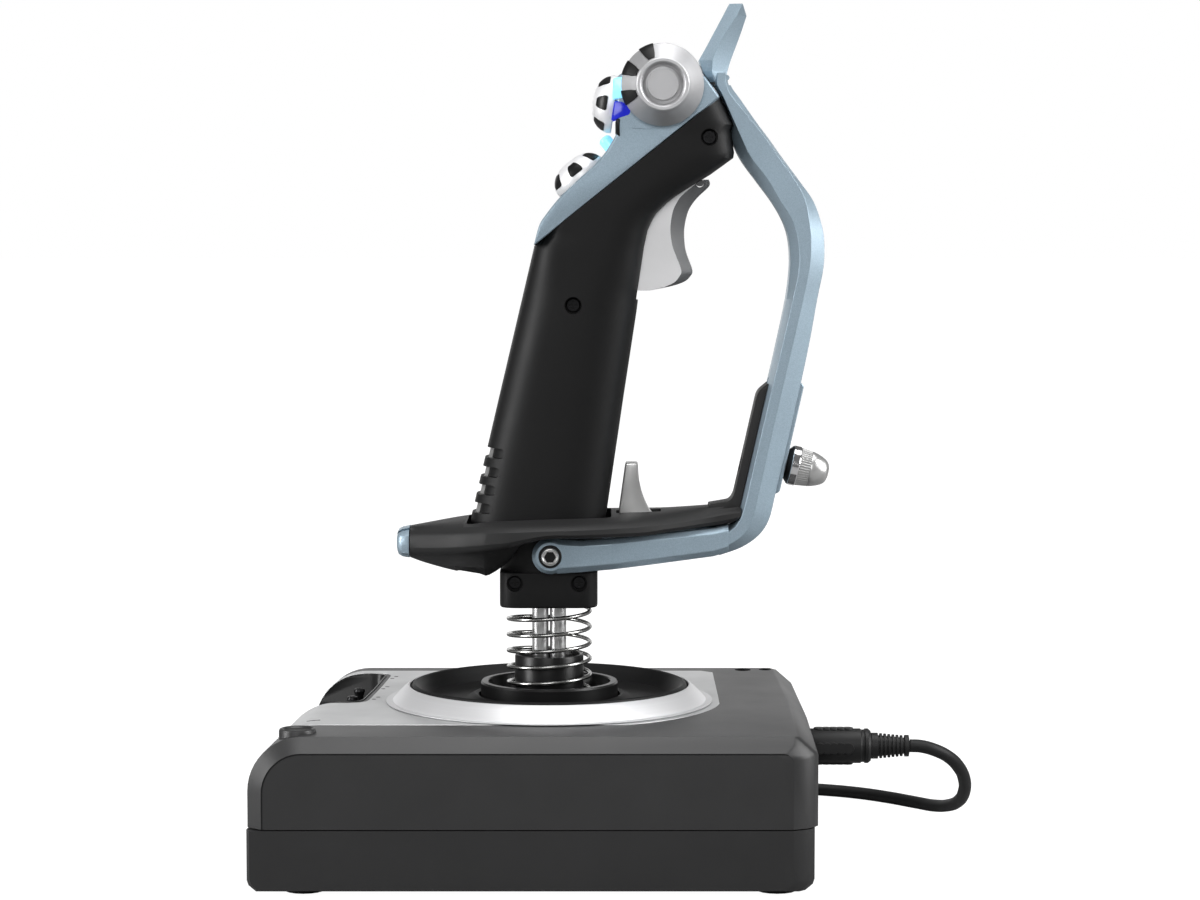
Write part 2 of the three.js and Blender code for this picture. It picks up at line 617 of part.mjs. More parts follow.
// ---- lock knob: its screw passes through the frame's slot into the tongue ----
const lockKnobProfile = [
  [0, -13.5], [2.1, -13.5], [2.1, 0], [5.6, 0], [6.3, 0.8], [6.3, 2.6], [7.4, 3.4], [7.4, 5.8],
  [6.6, 6.4], [6.6, 9], [6, 11.6], [4.4, 14], [2, 15], [0, 15],
];
const lockKnob = part(joystick, 'lock_knob', turned(lockKnobProfile, 20), 'chrome');
const lockTilt = Math.atan(slideSlope);
lockKnob.position.set(frameInnerAt(lockHeight) + 14.6, 0, lockHeight);
lockKnob.rotation.y = Math.PI / 2 + lockTilt;

// ---- link socket, plug, strain relief and cord ----
const socketFace = base.front;
const socketMesh = part(joystick, 'link_socket', alongX(turned([
  [0, 0], [7, 0], [7, 11], [4.8, 11], [4.8, 2], [0, 2],
], 16)), 'blackPlastic');
socketMesh.position.set(socketFace - 11, 0, plugHeight);

const plugProfile = [[0, 0], [4.4, 0], [4.4, 8.3], [6.4, 8.3], [6.4, 29.4], [5.4, 31.4], [0, 31.4]];
const plugMesh = part(joystick, 'link_plug', alongX(turned(plugProfile, 20)), 'blackPlastic');
plugMesh.position.set(socketFace - 8, 0, plugHeight);

const reliefProfile = [[0, 0], [4.6, 0], [4.4, 4], [3.2, 14], [0, 14]];
const reliefMesh = part(joystick, 'strain_relief', alongX(turned(reliefProfile, 16)), 'blackPlastic');
reliefMesh.position.set(socketFace + 23.7, 0, plugHeight);

const cordPoints = [
  [133, 0, 38], [137, 0, 37.8], [142, 0.6, 36.4], [147.5, 3, 33.4], [152, 8, 28.6], [155, 16, 22.4],
  [156, 26, 16], [155.4, 38, 10.4], [153, 51, 6.2], [148.5, 64, 3.6], [142, 76, 2.7], [133, 87, 2.5],
  [121, 97, 2.5], [106, 104.4, 2.5], [90, 109.2, 2.5], [74, 111.6, 2.5], [58, 112.2, 2.5], [44.8, 112.2, 2.5],
].map((point) => new THREE.Vector3(...point));
part(joystick, 'link_cord', new THREE.ExtrudeGeometry(circleShape(cordRadius, 8), {
  extrudePath: new THREE.CatmullRomCurve3(cordPoints), steps: 24, bevelEnabled: false,
}), 'gripRubber');

const coil = { centre: [26, 144], mean: 27, halfBand: 7.4, height: 9.8 };
const coilMesh = part(joystick, 'link_cord_coil', turned([
  [coil.mean - coil.halfBand, 0.1], [coil.mean + coil.halfBand, 0.1],
  [coil.mean + coil.halfBand, coil.height], [coil.mean - coil.halfBand, coil.height],
], 32), 'gripRubber');
coilMesh.position.set(...coil.centre, 0);

const farPlug = part(joystick, 'far_plug', alongX(turned([
  [0, 0], [3.2, 0], [4.6, 14], [5.4, 14.3], [6.4, 16.3], [6.4, 37.4], [4.4, 37.4], [4.4, 45], [0, 45],
], 20)), 'blackPlastic');
farPlug.rotation.z = Math.PI;
farPlug.position.set(coil.centre[0] - coil.mean - 5.5, coil.centre[1] - 26, 6.5);

export default joystick;
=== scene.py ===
"""Looks for the flight joystick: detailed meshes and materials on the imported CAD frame.

Sizes below are in millimetres, in the CAD's own frame: +Z up, +X to the front, +Y to the user's left.
"""
import math

import bpy
import bmesh
from mathutils import Matrix, Vector


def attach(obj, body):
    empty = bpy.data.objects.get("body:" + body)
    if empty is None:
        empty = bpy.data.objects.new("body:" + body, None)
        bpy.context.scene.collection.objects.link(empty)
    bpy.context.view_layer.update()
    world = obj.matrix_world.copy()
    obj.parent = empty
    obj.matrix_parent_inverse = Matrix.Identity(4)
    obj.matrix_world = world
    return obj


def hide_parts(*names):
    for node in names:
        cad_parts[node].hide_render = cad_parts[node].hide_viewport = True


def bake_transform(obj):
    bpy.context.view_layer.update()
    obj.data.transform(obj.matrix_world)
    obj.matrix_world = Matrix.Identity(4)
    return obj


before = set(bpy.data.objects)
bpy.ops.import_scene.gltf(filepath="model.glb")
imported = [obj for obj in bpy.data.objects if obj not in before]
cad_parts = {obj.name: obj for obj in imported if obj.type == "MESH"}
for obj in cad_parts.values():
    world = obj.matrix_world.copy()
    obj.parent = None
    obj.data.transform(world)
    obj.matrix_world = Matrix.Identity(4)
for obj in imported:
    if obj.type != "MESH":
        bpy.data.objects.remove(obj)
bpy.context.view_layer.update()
MM = 0.001
FORWARD = (1, 0, 0)
BACKWARD = (-1, 0, 0)
TO_LEFT = (0, 1, 0)
TO_RIGHT = (0, -1, 0)

# ---- camera ----
camera_data = bpy.data.cameras.new("camera")
camera_data.sensor_width = 36
camera_data.lens = 100.65
camera = bpy.data.objects.new("camera", camera_data)
camera.location = (0.01868, -1.22512, 0.24679)
camera.rotation_euler = (math.radians(85.365), 0, 0)
bpy.context.scene.collection.objects.link(camera)
bpy.context.scene.camera = camera


# ---- materials ----
class Surface:
    """A principled material whose colour, roughness and bump vary over the surface."""

    def __init__(self, name, color, roughness, metallic=0.0):
        self.material = bpy.data.materials.new(name)
        self.material.use_nodes = True
        self.tree = self.material.node_tree
        self.shader = self.tree.nodes["Principled BSDF"]
        self.color = color
        self.roughness = roughness
        self.set("Base Color", (*color, 1))
        self.set("Roughness", roughness)
        self.set("Metallic", metallic)
        self.coordinates = self.node("ShaderNodeTexCoord").outputs["Object"]
        self.normal = None

    def node(self, kind, **settings):
        made = self.tree.nodes.new(kind)
        for key, value in settings.items():
            setattr(made, key, value)
        return made

    def set(self, socket, value):
        self.shader.inputs[socket].default_value = value

    def link(self, output, socket):
        self.tree.links.new(output, socket)

    def noise(self, size_mm, detail=4.0, coordinates=None):
        noise = self.node("ShaderNodeTexNoise")
        noise.inputs["Scale"].default_value = 1 / (size_mm * MM)
        noise.inputs["Detail"].default_value = detail
        self.link(coordinates or self.coordinates, noise.inputs["Vector"])
        return noise.outputs["Fac"]

    def remap(self, value, new_low, new_high, low=0.3, high=0.7):
        """Stretches a value to a new range, by default from the range that noise mostly covers."""
        remap = self.node("ShaderNodeMapRange")
        for key, number in zip(("From Min", "From Max", "To Min", "To Max"), (low, high, new_low, new_high)):
            remap.inputs[key].default_value = number
        self.link(value, remap.inputs["Value"])
        return remap.outputs["Result"]

    def vary_color(self, value, darker, lighter):
        """Mixes between two shades of the base colour by a 0 to 1 value."""
        mix = self.node("ShaderNodeMix", data_type="RGBA")
        factor, dark_shade, light_shade, mixed = mix.inputs[0], mix.inputs[6], mix.inputs[7], mix.outputs[2]
        dark_shade.default_value = (*[c * darker for c in self.color], 1)
        light_shade.default_value = (*[min(1, c * lighter) for c in self.color], 1)
        self.link(self.remap(value, 0, 1), factor)
        self.link(mixed, self.shader.inputs["Base Color"])

    def vary_roughness(self, value, spread):
        low, high = max(0.02, self.roughness - spread), min(1, self.roughness + spread)
        self.link(self.remap(value, low, high), self.shader.inputs["Roughness"])

    def bump(self, height, strength, depth_mm):
        bump = self.node("ShaderNodeBump")
        bump.inputs["Strength"].default_value = strength
        bump.inputs["Distance"].default_value = depth_mm * MM
        self.link(height, bump.inputs["Height"])
        if self.normal:
            self.link(self.normal, bump.inputs["Normal"])
        self.normal = bump.outputs["Normal"]
        self.link(self.normal, self.shader.inputs["Normal"])


def moulded_plastic(name, color, roughness, grain_mm, grain_depth, sheen=0.4):
    """Spark-eroded moulded plastic: an even fine grain, with faint cloudy wear in its gloss."""
    surface = Surface(name, color, roughness)
    grain = surface.noise(grain_mm, detail=2)
    clouds = surface.noise(22)
    surface.bump(grain, 0.5, grain_depth)
    surface.vary_roughness(clouds, 0.025)
    surface.vary_color(clouds, 0.95, 1.06)
    surface.set("Specular IOR Level", sheen)
    return surface.material


FLAKE = 0.2


def metallic_paint(name, color, roughness):
    """Metallic paint: fine flakes that sparkle, a thin clear coat and a slow drift in its gloss."""
    surface = Surface(name, color, roughness, 0.55)
    flakes = surface.node("ShaderNodeTexVoronoi")
    flakes.inputs["Scale"].default_value = 1 / (FLAKE * MM)
    surface.link(surface.coordinates, flakes.inputs["Vector"])
    flake = surface.node("ShaderNodeSeparateColor")
    surface.link(flakes.outputs["Color"], flake.inputs["Color"])
    surface.vary_color(flake.outputs["Red"], 0.93, 1.07)
    surface.vary_roughness(surface.noise(12), 0.05)
    surface.bump(surface.noise(0.5, detail=1), 0.12, 0.02)
    surface.set("Coat Weight", 0.12)
    surface.set("Coat Roughness", 0.25)
    return surface.material


def satin_metal(name, color, roughness, brush_mm=0.25, depth=0.012, metallic=0.85):
    """Cast or plated metal with a fine satin grain."""
    surface = Surface(name, color, roughness, metallic)
    surface.bump(surface.noise(brush_mm, detail=3), 0.25, depth)
    surface.vary_roughness(surface.noise(9), 0.05)
    surface.vary_color(surface.noise(30), 0.95, 1.05)
    return surface.material


def turned_metal(name, color, roughness, axis, metallic=0.9):
    """Metal finished on a lathe: fine rings about the piece's axis. axis is (point, direction index)."""
    surface = Surface(name, color, roughness, metallic)
    centre, along = axis
    across = [i for i in range(3) if i != along]
    shift = surface.node("ShaderNodeVectorMath", operation="SUBTRACT")
    shift.inputs[1].default_value = [c * MM for c in centre]
    surface.link(surface.coordinates, shift.inputs[0])
    parts = surface.node("ShaderNodeSeparateXYZ")
    surface.link(shift.outputs["Vector"], parts.inputs["Vector"])
    flat = surface.node("ShaderNodeCombineXYZ")
    surface.link(parts.outputs[across[0]], flat.inputs[0])
    surface.link(parts.outputs[across[1]], flat.inputs[1])
    radius = surface.node("ShaderNodeVectorMath", operation="LENGTH")
    surface.link(flat.outputs["Vector"], radius.inputs[0])
    rings = surface.node("ShaderNodeCombineXYZ")
    surface.link(radius.outputs["Value"], rings.inputs[0])
    surface.link(parts.outputs[along], rings.inputs[1])
    lines = surface.noise(0.35, detail=3, coordinates=rings.outputs["Vector"])
    surface.bump(lines, 0.15, 0.01)
    surface.vary_roughness(lines, 0.05)
    surface.vary_color(lines, 0.97, 1.03)
    return surface.material


def polished(name, color, roughness):
    """Chrome or polished steel, with faint smears in its gloss."""
    surface = Surface(name, color, roughness, 1.0)
    surface.vary_roughness(surface.noise(6), 0.04)
    surface.bump(surface.noise(3), 0.03, 0.005)
    return surface.material


def lit_plastic(name, color, glow, strength):
    """Clear coloured plastic lit from inside, its glow varying at random over the surface."""
    surface = Surface(name, color, 0.18)
    surface.vary_color(surface.noise(2.5), 0.8, 1.2)
    surface.set("Emission Color", (*glow, 1))
    glow_strength = surface.remap(surface.noise(3.5), strength * 0.7, strength, 0.35, 0.65)
    surface.link(glow_strength, surface.shader.inputs["Emission Strength"])
    surface.set("Coat Weight", 0.25)
    return surface.material


BLACK = moulded_plastic("black_plastic", (0.022, 0.022, 0.0225), 0.42, 0.45, 0.03, 0.45)
BLACK_DARK = moulded_plastic("black_satin", (0.005, 0.005, 0.0052), 0.34, 0.6, 0.015, 0.3)
SOFT = moulded_plastic("soft_touch", (0.0045, 0.0045, 0.0047), 0.5, 0.32, 0.02, 0.22)
RUBBER = moulded_plastic("rubber", (0.008, 0.008, 0.0083), 0.55, 0.4, 0.03, 0.3)
BLUE = metallic_paint("blue_metallic", (0.31, 0.4, 0.47), 0.42)
SILVER = satin_metal("silver_plate", (0.63, 0.635, 0.64), 0.42)
PEARL = satin_metal("pearl_silver", (0.82, 0.82, 0.83), 0.45, metallic=0.4)
GREY = satin_metal("grey_metal", (0.13, 0.132, 0.135), 0.55, metallic=0.5)
DISC = satin_metal("grained_disc", (0.46, 0.46, 0.47), 0.5, 0.4, 0.05, 0.5)
NICKEL = satin_metal("satin_nickel", (0.58, 0.58, 0.575), 0.34)
WIRE = polished("spring_wire", (0.42, 0.42, 0.41), 0.24)
SHAFT = polished("ground_steel", (0.72, 0.72, 0.72), 0.3)
CHROME = polished("chrome", (0.78, 0.78, 0.79), 0.12)
STEEL = satin_metal("machined_steel", (0.34, 0.35, 0.36), 0.35)
DARK_STEEL = satin_metal("blackened_steel", (0.018, 0.018, 0.019), 0.36)
SKIRT = turned_metal("turned_skirt", (0.68, 0.68, 0.69), 0.42, ((0, 0, 0), 2), 0.6)
DIAL_CENTRE = (41.1, -20, 280.1)
DIAL = turned_metal("turned_dial", (0.52, 0.52, 0.53), 0.5, (DIAL_CENTRE, 1))
CYAN = lit_plastic("lit_cyan", (0.3, 0.7, 0.85), (0.22, 0.66, 0.95), 0.85)
DEEP_BLUE = lit_plastic("lit_blue", (0.01, 0.015, 0.3), (0.005, 0.012, 0.5), 0.7)
PLUG = moulded_plastic("plug_rubber", (0.011, 0.011, 0.0113), 0.5, 0.4, 0.02, 0.3)
REST = moulded_plastic("rest_plastic", (0.014, 0.014, 0.0143), 0.52, 0.4, 0.03, 0.3)
# A darker copy of the black plastic for the lower tub: painted shade, so the base gets darker towards the
# bottom.
TUB_PAINTED_SHADE = moulded_plastic("lower_plastic_painted_shade", (0.0165, 0.0165, 0.017), 0.42, 0.45, 0.03, 0.45)
BOARD = moulded_plastic("circuit_board", (0.02, 0.12, 0.06), 0.4, 1.2, 0.02)


# ---- mesh helpers ----
def smooth_by_angle(obj, degrees=32):
    for polygon in obj.data.polygons:
        polygon.use_smooth = True
    obj.data.set_sharp_from_angle(angle=math.radians(degrees))


def make(name, points, faces, material, angle=32):
    """A mesh object from points in millimetres."""
    mesh = bpy.data.meshes.new(name)
    mesh.from_pydata([Vector(p) * MM for p in points], [], faces)
    obj = bpy.data.objects.new(name, mesh)
    bpy.context.scene.collection.objects.link(obj)
    bm = bmesh.new()
    bm.from_mesh(mesh)
    bmesh.ops.remove_doubles(bm, verts=bm.verts, dist=1e-7)
    bmesh.ops.recalc_face_normals(bm, faces=bm.faces)
    bm.to_mesh(mesh)
    bm.free()
    mesh.materials.append(material)
    smooth_by_angle(obj, angle)
    return obj


def at_y(outline, y):
    """A side view's (X, Z) points as a ring at one Y."""
    return [(x, y, z) for x, z in outline]


def at_height(outline, z):
    """A plan's (X, Y) points as a ring at one height."""
    return [(x, y, z) for x, y in outline]


def on_circle(radius, angle, height=0.0):
    """A point at an angle, in radians, round the Z axis."""
    return Vector((radius * math.cos(angle), radius * math.sin(angle), height))


def loft(name, rings, material, angle=32, capped=True):
    """Joins rings of points, all with the same count, into a closed skin."""
    count = len(rings[0])
    points = [p for ring in rings for p in ring]
    faces = []
    for row in range(len(rings) - 1):
        for i in range(count):
            j = (i + 1) % count
            a, b = row * count, (row + 1) * count
            faces.append((a + i, a + j, b + j, b + i))
    if capped:
        faces.append(tuple(range(count)))
        last = (len(rings) - 1) * count
        faces.append(tuple(last + i for i in range(count)))
    return make(name, points, faces, material, angle)


def frame_on(origin, direction):
    """A matrix, in millimetres, that sets local +Z along a direction at an origin."""
    turn = Vector(direction).normalized().to_track_quat("Z", "Y").to_matrix().to_4x4()
    return Matrix.Translation(Vector(origin)) @ turn


def revolve(name, profile, material, origin=(0, 0, 0), direction=(0, 0, 1), segments=64, angle=32):
    """Turns [radius, height] points about an axis. Zero radii become poles."""
    axis = frame_on(origin, direction)
    turns = [2 * math.pi * i / segments for i in range(segments)]
    rings = [[axis @ on_circle(radius, turn, height) for turn in turns] for radius, height in profile]
    return loft(name, rings, material, angle, capped=profile[0][0] > 0 and profile[0] != profile[-1])


def prism(name, outline, half, material):
    """Extrudes a side view (X, Z) from -half to +half in Y."""
    return loft(name, [at_y(outline, -half), at_y(outline, half)], material)


def drill(radius, low, high, origin=(0, 0, 0), direction=(0, 0, 1), segments=32):
    """A round cutter, between two heights on an axis."""
    return revolve("drill", [(radius, low), (radius, high)], BLACK_DARK, origin, direction, segments)


def plan_cutter(outline, low, high):
    """A cutter with a plan (X, Y) outline, from one height to another."""
    return loft("plan_cutter", [at_height(outline, low), at_height(outline, high)], BLACK_DARK)


def box_cutter(x, y, z):
    """A box-shaped cutter, between two values of each of X, Y and Z."""
    outline = [(x[0], z[0]), (x[1], z[0]), (x[1], z[1]), (x[0], z[1])]
    return loft("box_cutter", [at_y(outline, side) for side in y], BLACK_DARK)


def round_edges(obj, width, segments=3, degrees=25):
    modifier = obj.modifiers.new("round", "BEVEL")
    modifier.width = width * MM
    modifier.segments = segments
    modifier.limit_method = "ANGLE"
    modifier.angle_limit = math.radians(degrees)
    modifier.harden_normals = True
    return obj


def bake_modifiers(obj):
    bpy.context.view_layer.update()
    evaluated = obj.evaluated_get(bpy.context.evaluated_depsgraph_get())
    mesh = bpy.data.meshes.new_from_object(evaluated)
    obj.modifiers.clear()
    obj.data = mesh


def carve(obj, *cutters, keep=False, operation="DIFFERENCE"):
    """Cuts the cutters out of obj, then removes them."""
    for cutter in cutters:
        modifier = obj.modifiers.new("carve", "BOOLEAN")
        modifier.operation = operation
        modifier.solver = "EXACT"
        modifier.object = cutter
    bake_modifiers(obj)
    smooth_by_angle(obj)
    if not keep:
        for cutter in cutters:
            bpy.data.objects.remove(cutter)
    return obj


def join(name, *objects):
    """Joins several objects into one piece, with their materials."""
    for obj in objects:
        if obj.modifiers:
            bake_modifiers(obj)
    bpy.ops.object.select_all(action="DESELECT")
    for obj in objects:
        obj.select_set(True)
    bpy.context.view_layer.objects.active = objects[0]
    bpy.ops.object.join()
    objects[0].name = name
    return objects[0]


def winding(outline):
    """1 for a closed outline that runs anticlockwise, -1 for one that runs clockwise."""
    area = sum(a[0] * b[1] - b[0] * a[1] for a, b in zip(outline, outline[1:] + outline[:1]))
    return 1 if area > 0 else -1


def with_neighbours(outline):
    """Each corner of a closed outline, between the corner before it and the one after it."""
    return zip(outline[-1:] + outline[:-1], outline, outline[1:] + outline[:1])


def inset(outline, distance):
    """Moves each corner of a closed outline inwards along its mitre."""
    side = winding(outline)
    moved = []
    for before, (x, y), after in with_neighbours(outline):
        into = Vector((x - before[0], y - before[1])).normalized()
        out = Vector((after[0] - x, after[1] - y)).normalized()
        first, second = Vector((-into.y, into.x)), Vector((-out.y, out.x))
        mitre = (first + second) / max(1 + first.dot(second), 0.35)
        moved.append((x + side * distance * mitre.x, y + side * distance * mitre.y))
    return moved


def rounded(outline, radius, steps=4):
    """Rounds each corner of a closed outline with a short curve. radius is a number or one per corner."""
    result = []
    for i, (before, corner, after) in enumerate(with_neighbours([Vector(point) for point in outline])):
        reach = radius[i] if hasattr(radius, "__len__") else radius
        reach = min(reach, 0.45 * (before - corner).length, 0.45 * (after - corner).length)
        start = corner + (before - corner).normalized() * reach
        end = corner + (after - corner).normalized() * reach
        for step in range(steps + 1):
            t = step / steps
            point = start * (1 - t) ** 2 + corner * 2 * t * (1 - t) + end * t ** 2
            result.append((point.x, point.y))
    return result


def bulging_corners(outline):
    """For each corner of a closed outline, whether it bulges outwards."""
    side = winding(outline)
    bulges = []
    for before, (x, y), after in with_neighbours(outline):
        cross = (x - before[0]) * (after[1] - y) - (y - before[1]) * (after[0] - x)
        bulges.append(cross * side > 0)
    return bulges


def pillow(name, outline, radii, half, edge, drop, material, steps):
    """A side view (X, Z) given thickness in Y, whose rim curves inwards by drop over a depth of edge."""
    if not hasattr(radii, "__len__"):
        radii = [radii] * len(outline)
    bulges = bulging_corners(outline)
    sections = []
    for step in range(steps + 1):
        turn = math.pi / 2 * step / steps
        sections.append((half - edge * (1 - math.cos(turn)), drop * (1 - math.sin(turn))))
    rings = []
    for y, back in [(-y, back) for y, back in sections] + [(y, back) for y, back in reversed(sections)]:
        corners = [max(0.15, r - back if bulge else r + back) for r, bulge in zip(radii, bulges)]
        rings.append(at_y(rounded(inset(outline, back), corners), y))
    return loft(name, rings, material)


def place(obj, body, slot, *nodes):
    """Rides the piece on a body and hides the CAD nodes it stands for; its slot argument is not used."""
    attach(obj, body)
    if nodes:
        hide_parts(*nodes)
    return obj


def catmull_rom(a, b, c, d, t):
    """The curve from b to c at t, from 0 to 1."""
    square, cube = 2 * a - 5 * b + 4 * c - d, 3 * b - a - 3 * c + d
    return 0.5 * (2 * b + (c - a) * t + square * t * t + cube * t ** 3)


def spline(points, steps):
    """Catmull-Rom through tuples of numbers, with the given steps between each pair."""
    result = []
    count = len(points)
    for i in range(count - 1):
        p = [points[max(i - 1, 0)], points[i], points[i + 1], points[min(i + 2, count - 1)]]
        for step in range(steps):
            result.append(tuple(catmull_rom(*numbers, step / steps) for numbers in zip(*p)))
    result.append(points[-1])
    return result


def arc(centre, radius, start, end, steps):
    """Points (X, Z) on an arc, angles in degrees."""
    turns = [math.radians(start + (end - start) * i / steps) for i in range(steps + 1)]
    return [(centre[0] + radius * math.cos(a), centre[1] + radius * math.sin(a)) for a in turns]


def clamp(value):
    return max(0.0, min(1.0, value))


def mix(a, b, t):
    return a + (b - a) * clamp(t)


def along(line, position):
    """Reads a line of (position, value) points at one position."""
    for (start, first), (end, last) in zip(line, line[1:]):
        if position <= end:
            return first + (last - first) * (position - start) / (end - start)
    return line[-1][1]


# ---- link cord, first because its room decides where its solids lie ----
LINK_HEIGHT = 38
FAR_PLUG_Y, FAR_PLUG_HEIGHT = 118, 6.5
CORD_RADIUS = 2.4
COIL_CENTRE = (26, 144)
COIL_MEAN = 27.0
COIL_PITCH = 4.9
COIL_TURNS = 4
TURN_STEPS = 20
CORD_REST = 2.5
CORD_LEAD = [
    (133, 0, LINK_HEIGHT), (137, 0, 37.8), (142, 0.6, 36.4), (147.5, 3, 33.4), (152, 8, 28.6),
    (155, 16, 22.4), (156, 26, 16), (155.4, 38, 10.4), (153, 51, 6.2), (148.5, 64, 3.6),
    (142, 76, 2.7), (133, 87, 2.5),
    (121, 97, 2.5), (106, 104.4, 2.5), (90, 109.2, 2.5), (74, 111.6, 2.5), (58, 112.2, 2.5), (44, 112.2, 2.5),
]
CORD_TAIL = [(16, 112.6, 7.3), (6, 114.4, 7.1), (-1, 116.8, 6.7), (-6.5, FAR_PLUG_Y, FAR_PLUG_HEIGHT)]


def coil_points():
    """Two turns inwards on the floor, then two outwards on top of them, run clockwise."""
    points = []
    for i in range(COIL_TURNS * TURN_STEPS + 1):
        turn = i / TURN_STEPS
        angle = -math.pi / 2 - 2 * math.pi * turn
        radius = COIL_MEAN - COIL_PITCH + COIL_PITCH * abs(turn - COIL_TURNS / 2)
        x, y = COIL_CENTRE[0] + radius * math.cos(angle), COIL_CENTRE[1] + radius * math.sin(angle)
        points.append((x, y, CORD_REST + COIL_PITCH * clamp((turn - 1.8) / 0.35)))
    return points


def build_cord():
    """The free cord: a curve from the strain relief to the far plug."""
    curve = bpy.data.curves.new("link_cord_run", "CURVE")
    curve.dimensions = "3D"
    curve.bevel_depth = CORD_RADIUS * MM
    curve.bevel_resolution = 5
    curve.resolution_u = 6
    line = curve.splines.new("BEZIER")
    route = CORD_LEAD + coil_points() + CORD_TAIL
    line.bezier_points.add(len(route) - 1)
    for knot, point in zip(line.bezier_points, route):
        knot.co = Vector(point) * MM
        knot.handle_left_type = knot.handle_right_type = "AUTO"
    curve.materials.append(RUBBER)
    cord = bpy.data.objects.new("link_cord_run", curve)
    bpy.context.scene.collection.objects.link(cord)
    return place(cord, "base", "cord_rubber", "link_cord", "link_cord_coil")


PAD_SPACING = 2.6


def build_plug(name, origin, roll=0.0):
    """A moulded plug that points back: metal nose, body, and four rows of raised pads, turned by roll."""
    body = [(0, 8), (6.1, 8), (6.4, 8.5), (6.4, 27.6), (6.0, 28.1), (6.0, 28.9), (6.4, 29.3), (6.4, 30.4),
            (5.6, 31.4), (0, 31.4)]
    nose = [(0, 0), (4.1, 0), (4.4, 0.4), (4.4, 8.2), (0, 8.2)]
    pad = [(0, -0.5), (1.9, -0.5), (2.2, -0.1), (2.0, 0.45), (0, 0.55)]
    pieces = [revolve(name + "_body", body, PLUG, origin, FORWARD),
              revolve(name + "_nose", nose, CHROME, origin, FORWARD)]
    turn = frame_on(origin, FORWARD)
    for side in range(4):
        angle = side * math.pi / 2 + roll
        outwards = turn @ on_circle(1, angle) - turn @ Vector((0, 0, 0))
        for row in range(5):
            centre = turn @ on_circle(6.35, angle, 12.5 + row * PAD_SPACING)
            pieces.append(revolve("pad", pad, PLUG, centre, outwards, 16))
    return join(name, *pieces)


def build_relief(name, origin):
    """A tapered strain relief whose flexible part is cut into rings."""
    length, wide, narrow, rings = 14.0, 4.8, 3.0, 7
    groove = 0.9
    profile = [(0, 0), (wide, 0)]
    pitch = (length - 3.4) / rings
    for ring in range(rings):
        start = 1.6 + ring * pitch
        radius = mix(wide, narrow + groove, ring / (rings - 1))
        profile += [(radius, start), (radius, start + pitch * 0.52), (radius - groove, start + pitch * 0.6),
                    (radius - groove, start + pitch * 0.94)]
    profile += [(narrow + 1.0, length - 1.7), (narrow + 1.0, length - 0.2), (narrow, length), (0, length)]
    return revolve(name, profile, PLUG, origin, FORWARD, 40, 24)


# ---- base: side views lofted across, so that the rim can be chamfered all round ----
BASE = {"back": -103.4, "front": 95.0, "half": 87.0, "slant": 13.4, "low": 1.5, "seam": 23.4, "top": 55.0}
USER_EDGE = 19.0
RIM = 5.4
RIM_DROP = 5.6
# Inset of the rim's small step; the step's wall is painted black as a shade line at the foot of the bevel.
RIM_SHADE_LINE = 0.3
CORNER = 12.5
# The toggle pocket's plan, as (X, Y).
POCKET = [(-110, -6), (-68.5, -6), (-65.5, 28), (-63.2, 65), (-110, 65)]
POCKET_CORNER = 7
PLATE_PROUD = 0.14
PLATE_UNDER = -0.9
CUP_FLOOR = 51.2


def base_back(y):
    return BASE["back"] + BASE["slant"] * (y + BASE["half"]) / (2 * BASE["half"])


def base_front(y):
    over = abs(y) - (BASE["half"] - CORNER)
    return BASE["front"] - CORNER + math.sqrt(max(CORNER ** 2 - max(over, 0) ** 2, 0))


def housing_ring(y, drop, low):
    """The upper housing's side view at one Y: its rim is drop lower and further in."""
    back, front, top = base_back(y) + drop * 1.1, base_front(y), BASE["top"] - drop
    edge = USER_EDGE - drop
    ring = [(back, low), (back + 0.01, low + 4)]
    ring += arc((back + edge, top - edge), edge, 180, 90, 12)
    chamfer = 6.5 * (1 - 0.75 * drop / RIM_DROP)
    ring += [(front - chamfer - 1.2, top), (front - chamfer, top - 0.3)]
    ring += [(front - 0.5, top - chamfer * 0.85), (front, top - chamfer * 0.85 - 1.2), (front, low)]
    return at_y(ring, y)


def tub_ring(y, drop):
    low, high = BASE["low"] + drop * 0.5, BASE["seam"] - 0.25
    back, front = base_back(y) + drop, base_front(y)
    ring = [(back + 3.2, low), (back + 0.6, low + 2.2), (back, low + 4), (back, high)]
    ring += [(front, high), (front, low + 4), (front - 0.6, low + 2.2), (front - 3.2, low)]
    return at_y(ring, y)


def rim_stations(depth, drop):
    """(Y, drop) pairs across the base, with the chamfered rim eased at both of its edges."""
    half = BASE["half"]
    near = [(half, drop), (half - RIM_SHADE_LINE, drop), (half - RIM_SHADE_LINE, drop * 0.9),
            (half - depth * 0.5, drop * 0.47), (half - depth * 0.95, drop * 0.05), (half - depth, 0.0),
            (half - depth - 2.5, 0.0)]
    return [(-y, d) for y, d in near] + [(0.0, 0.0)] + [(y, d) for y, d in reversed(near)]


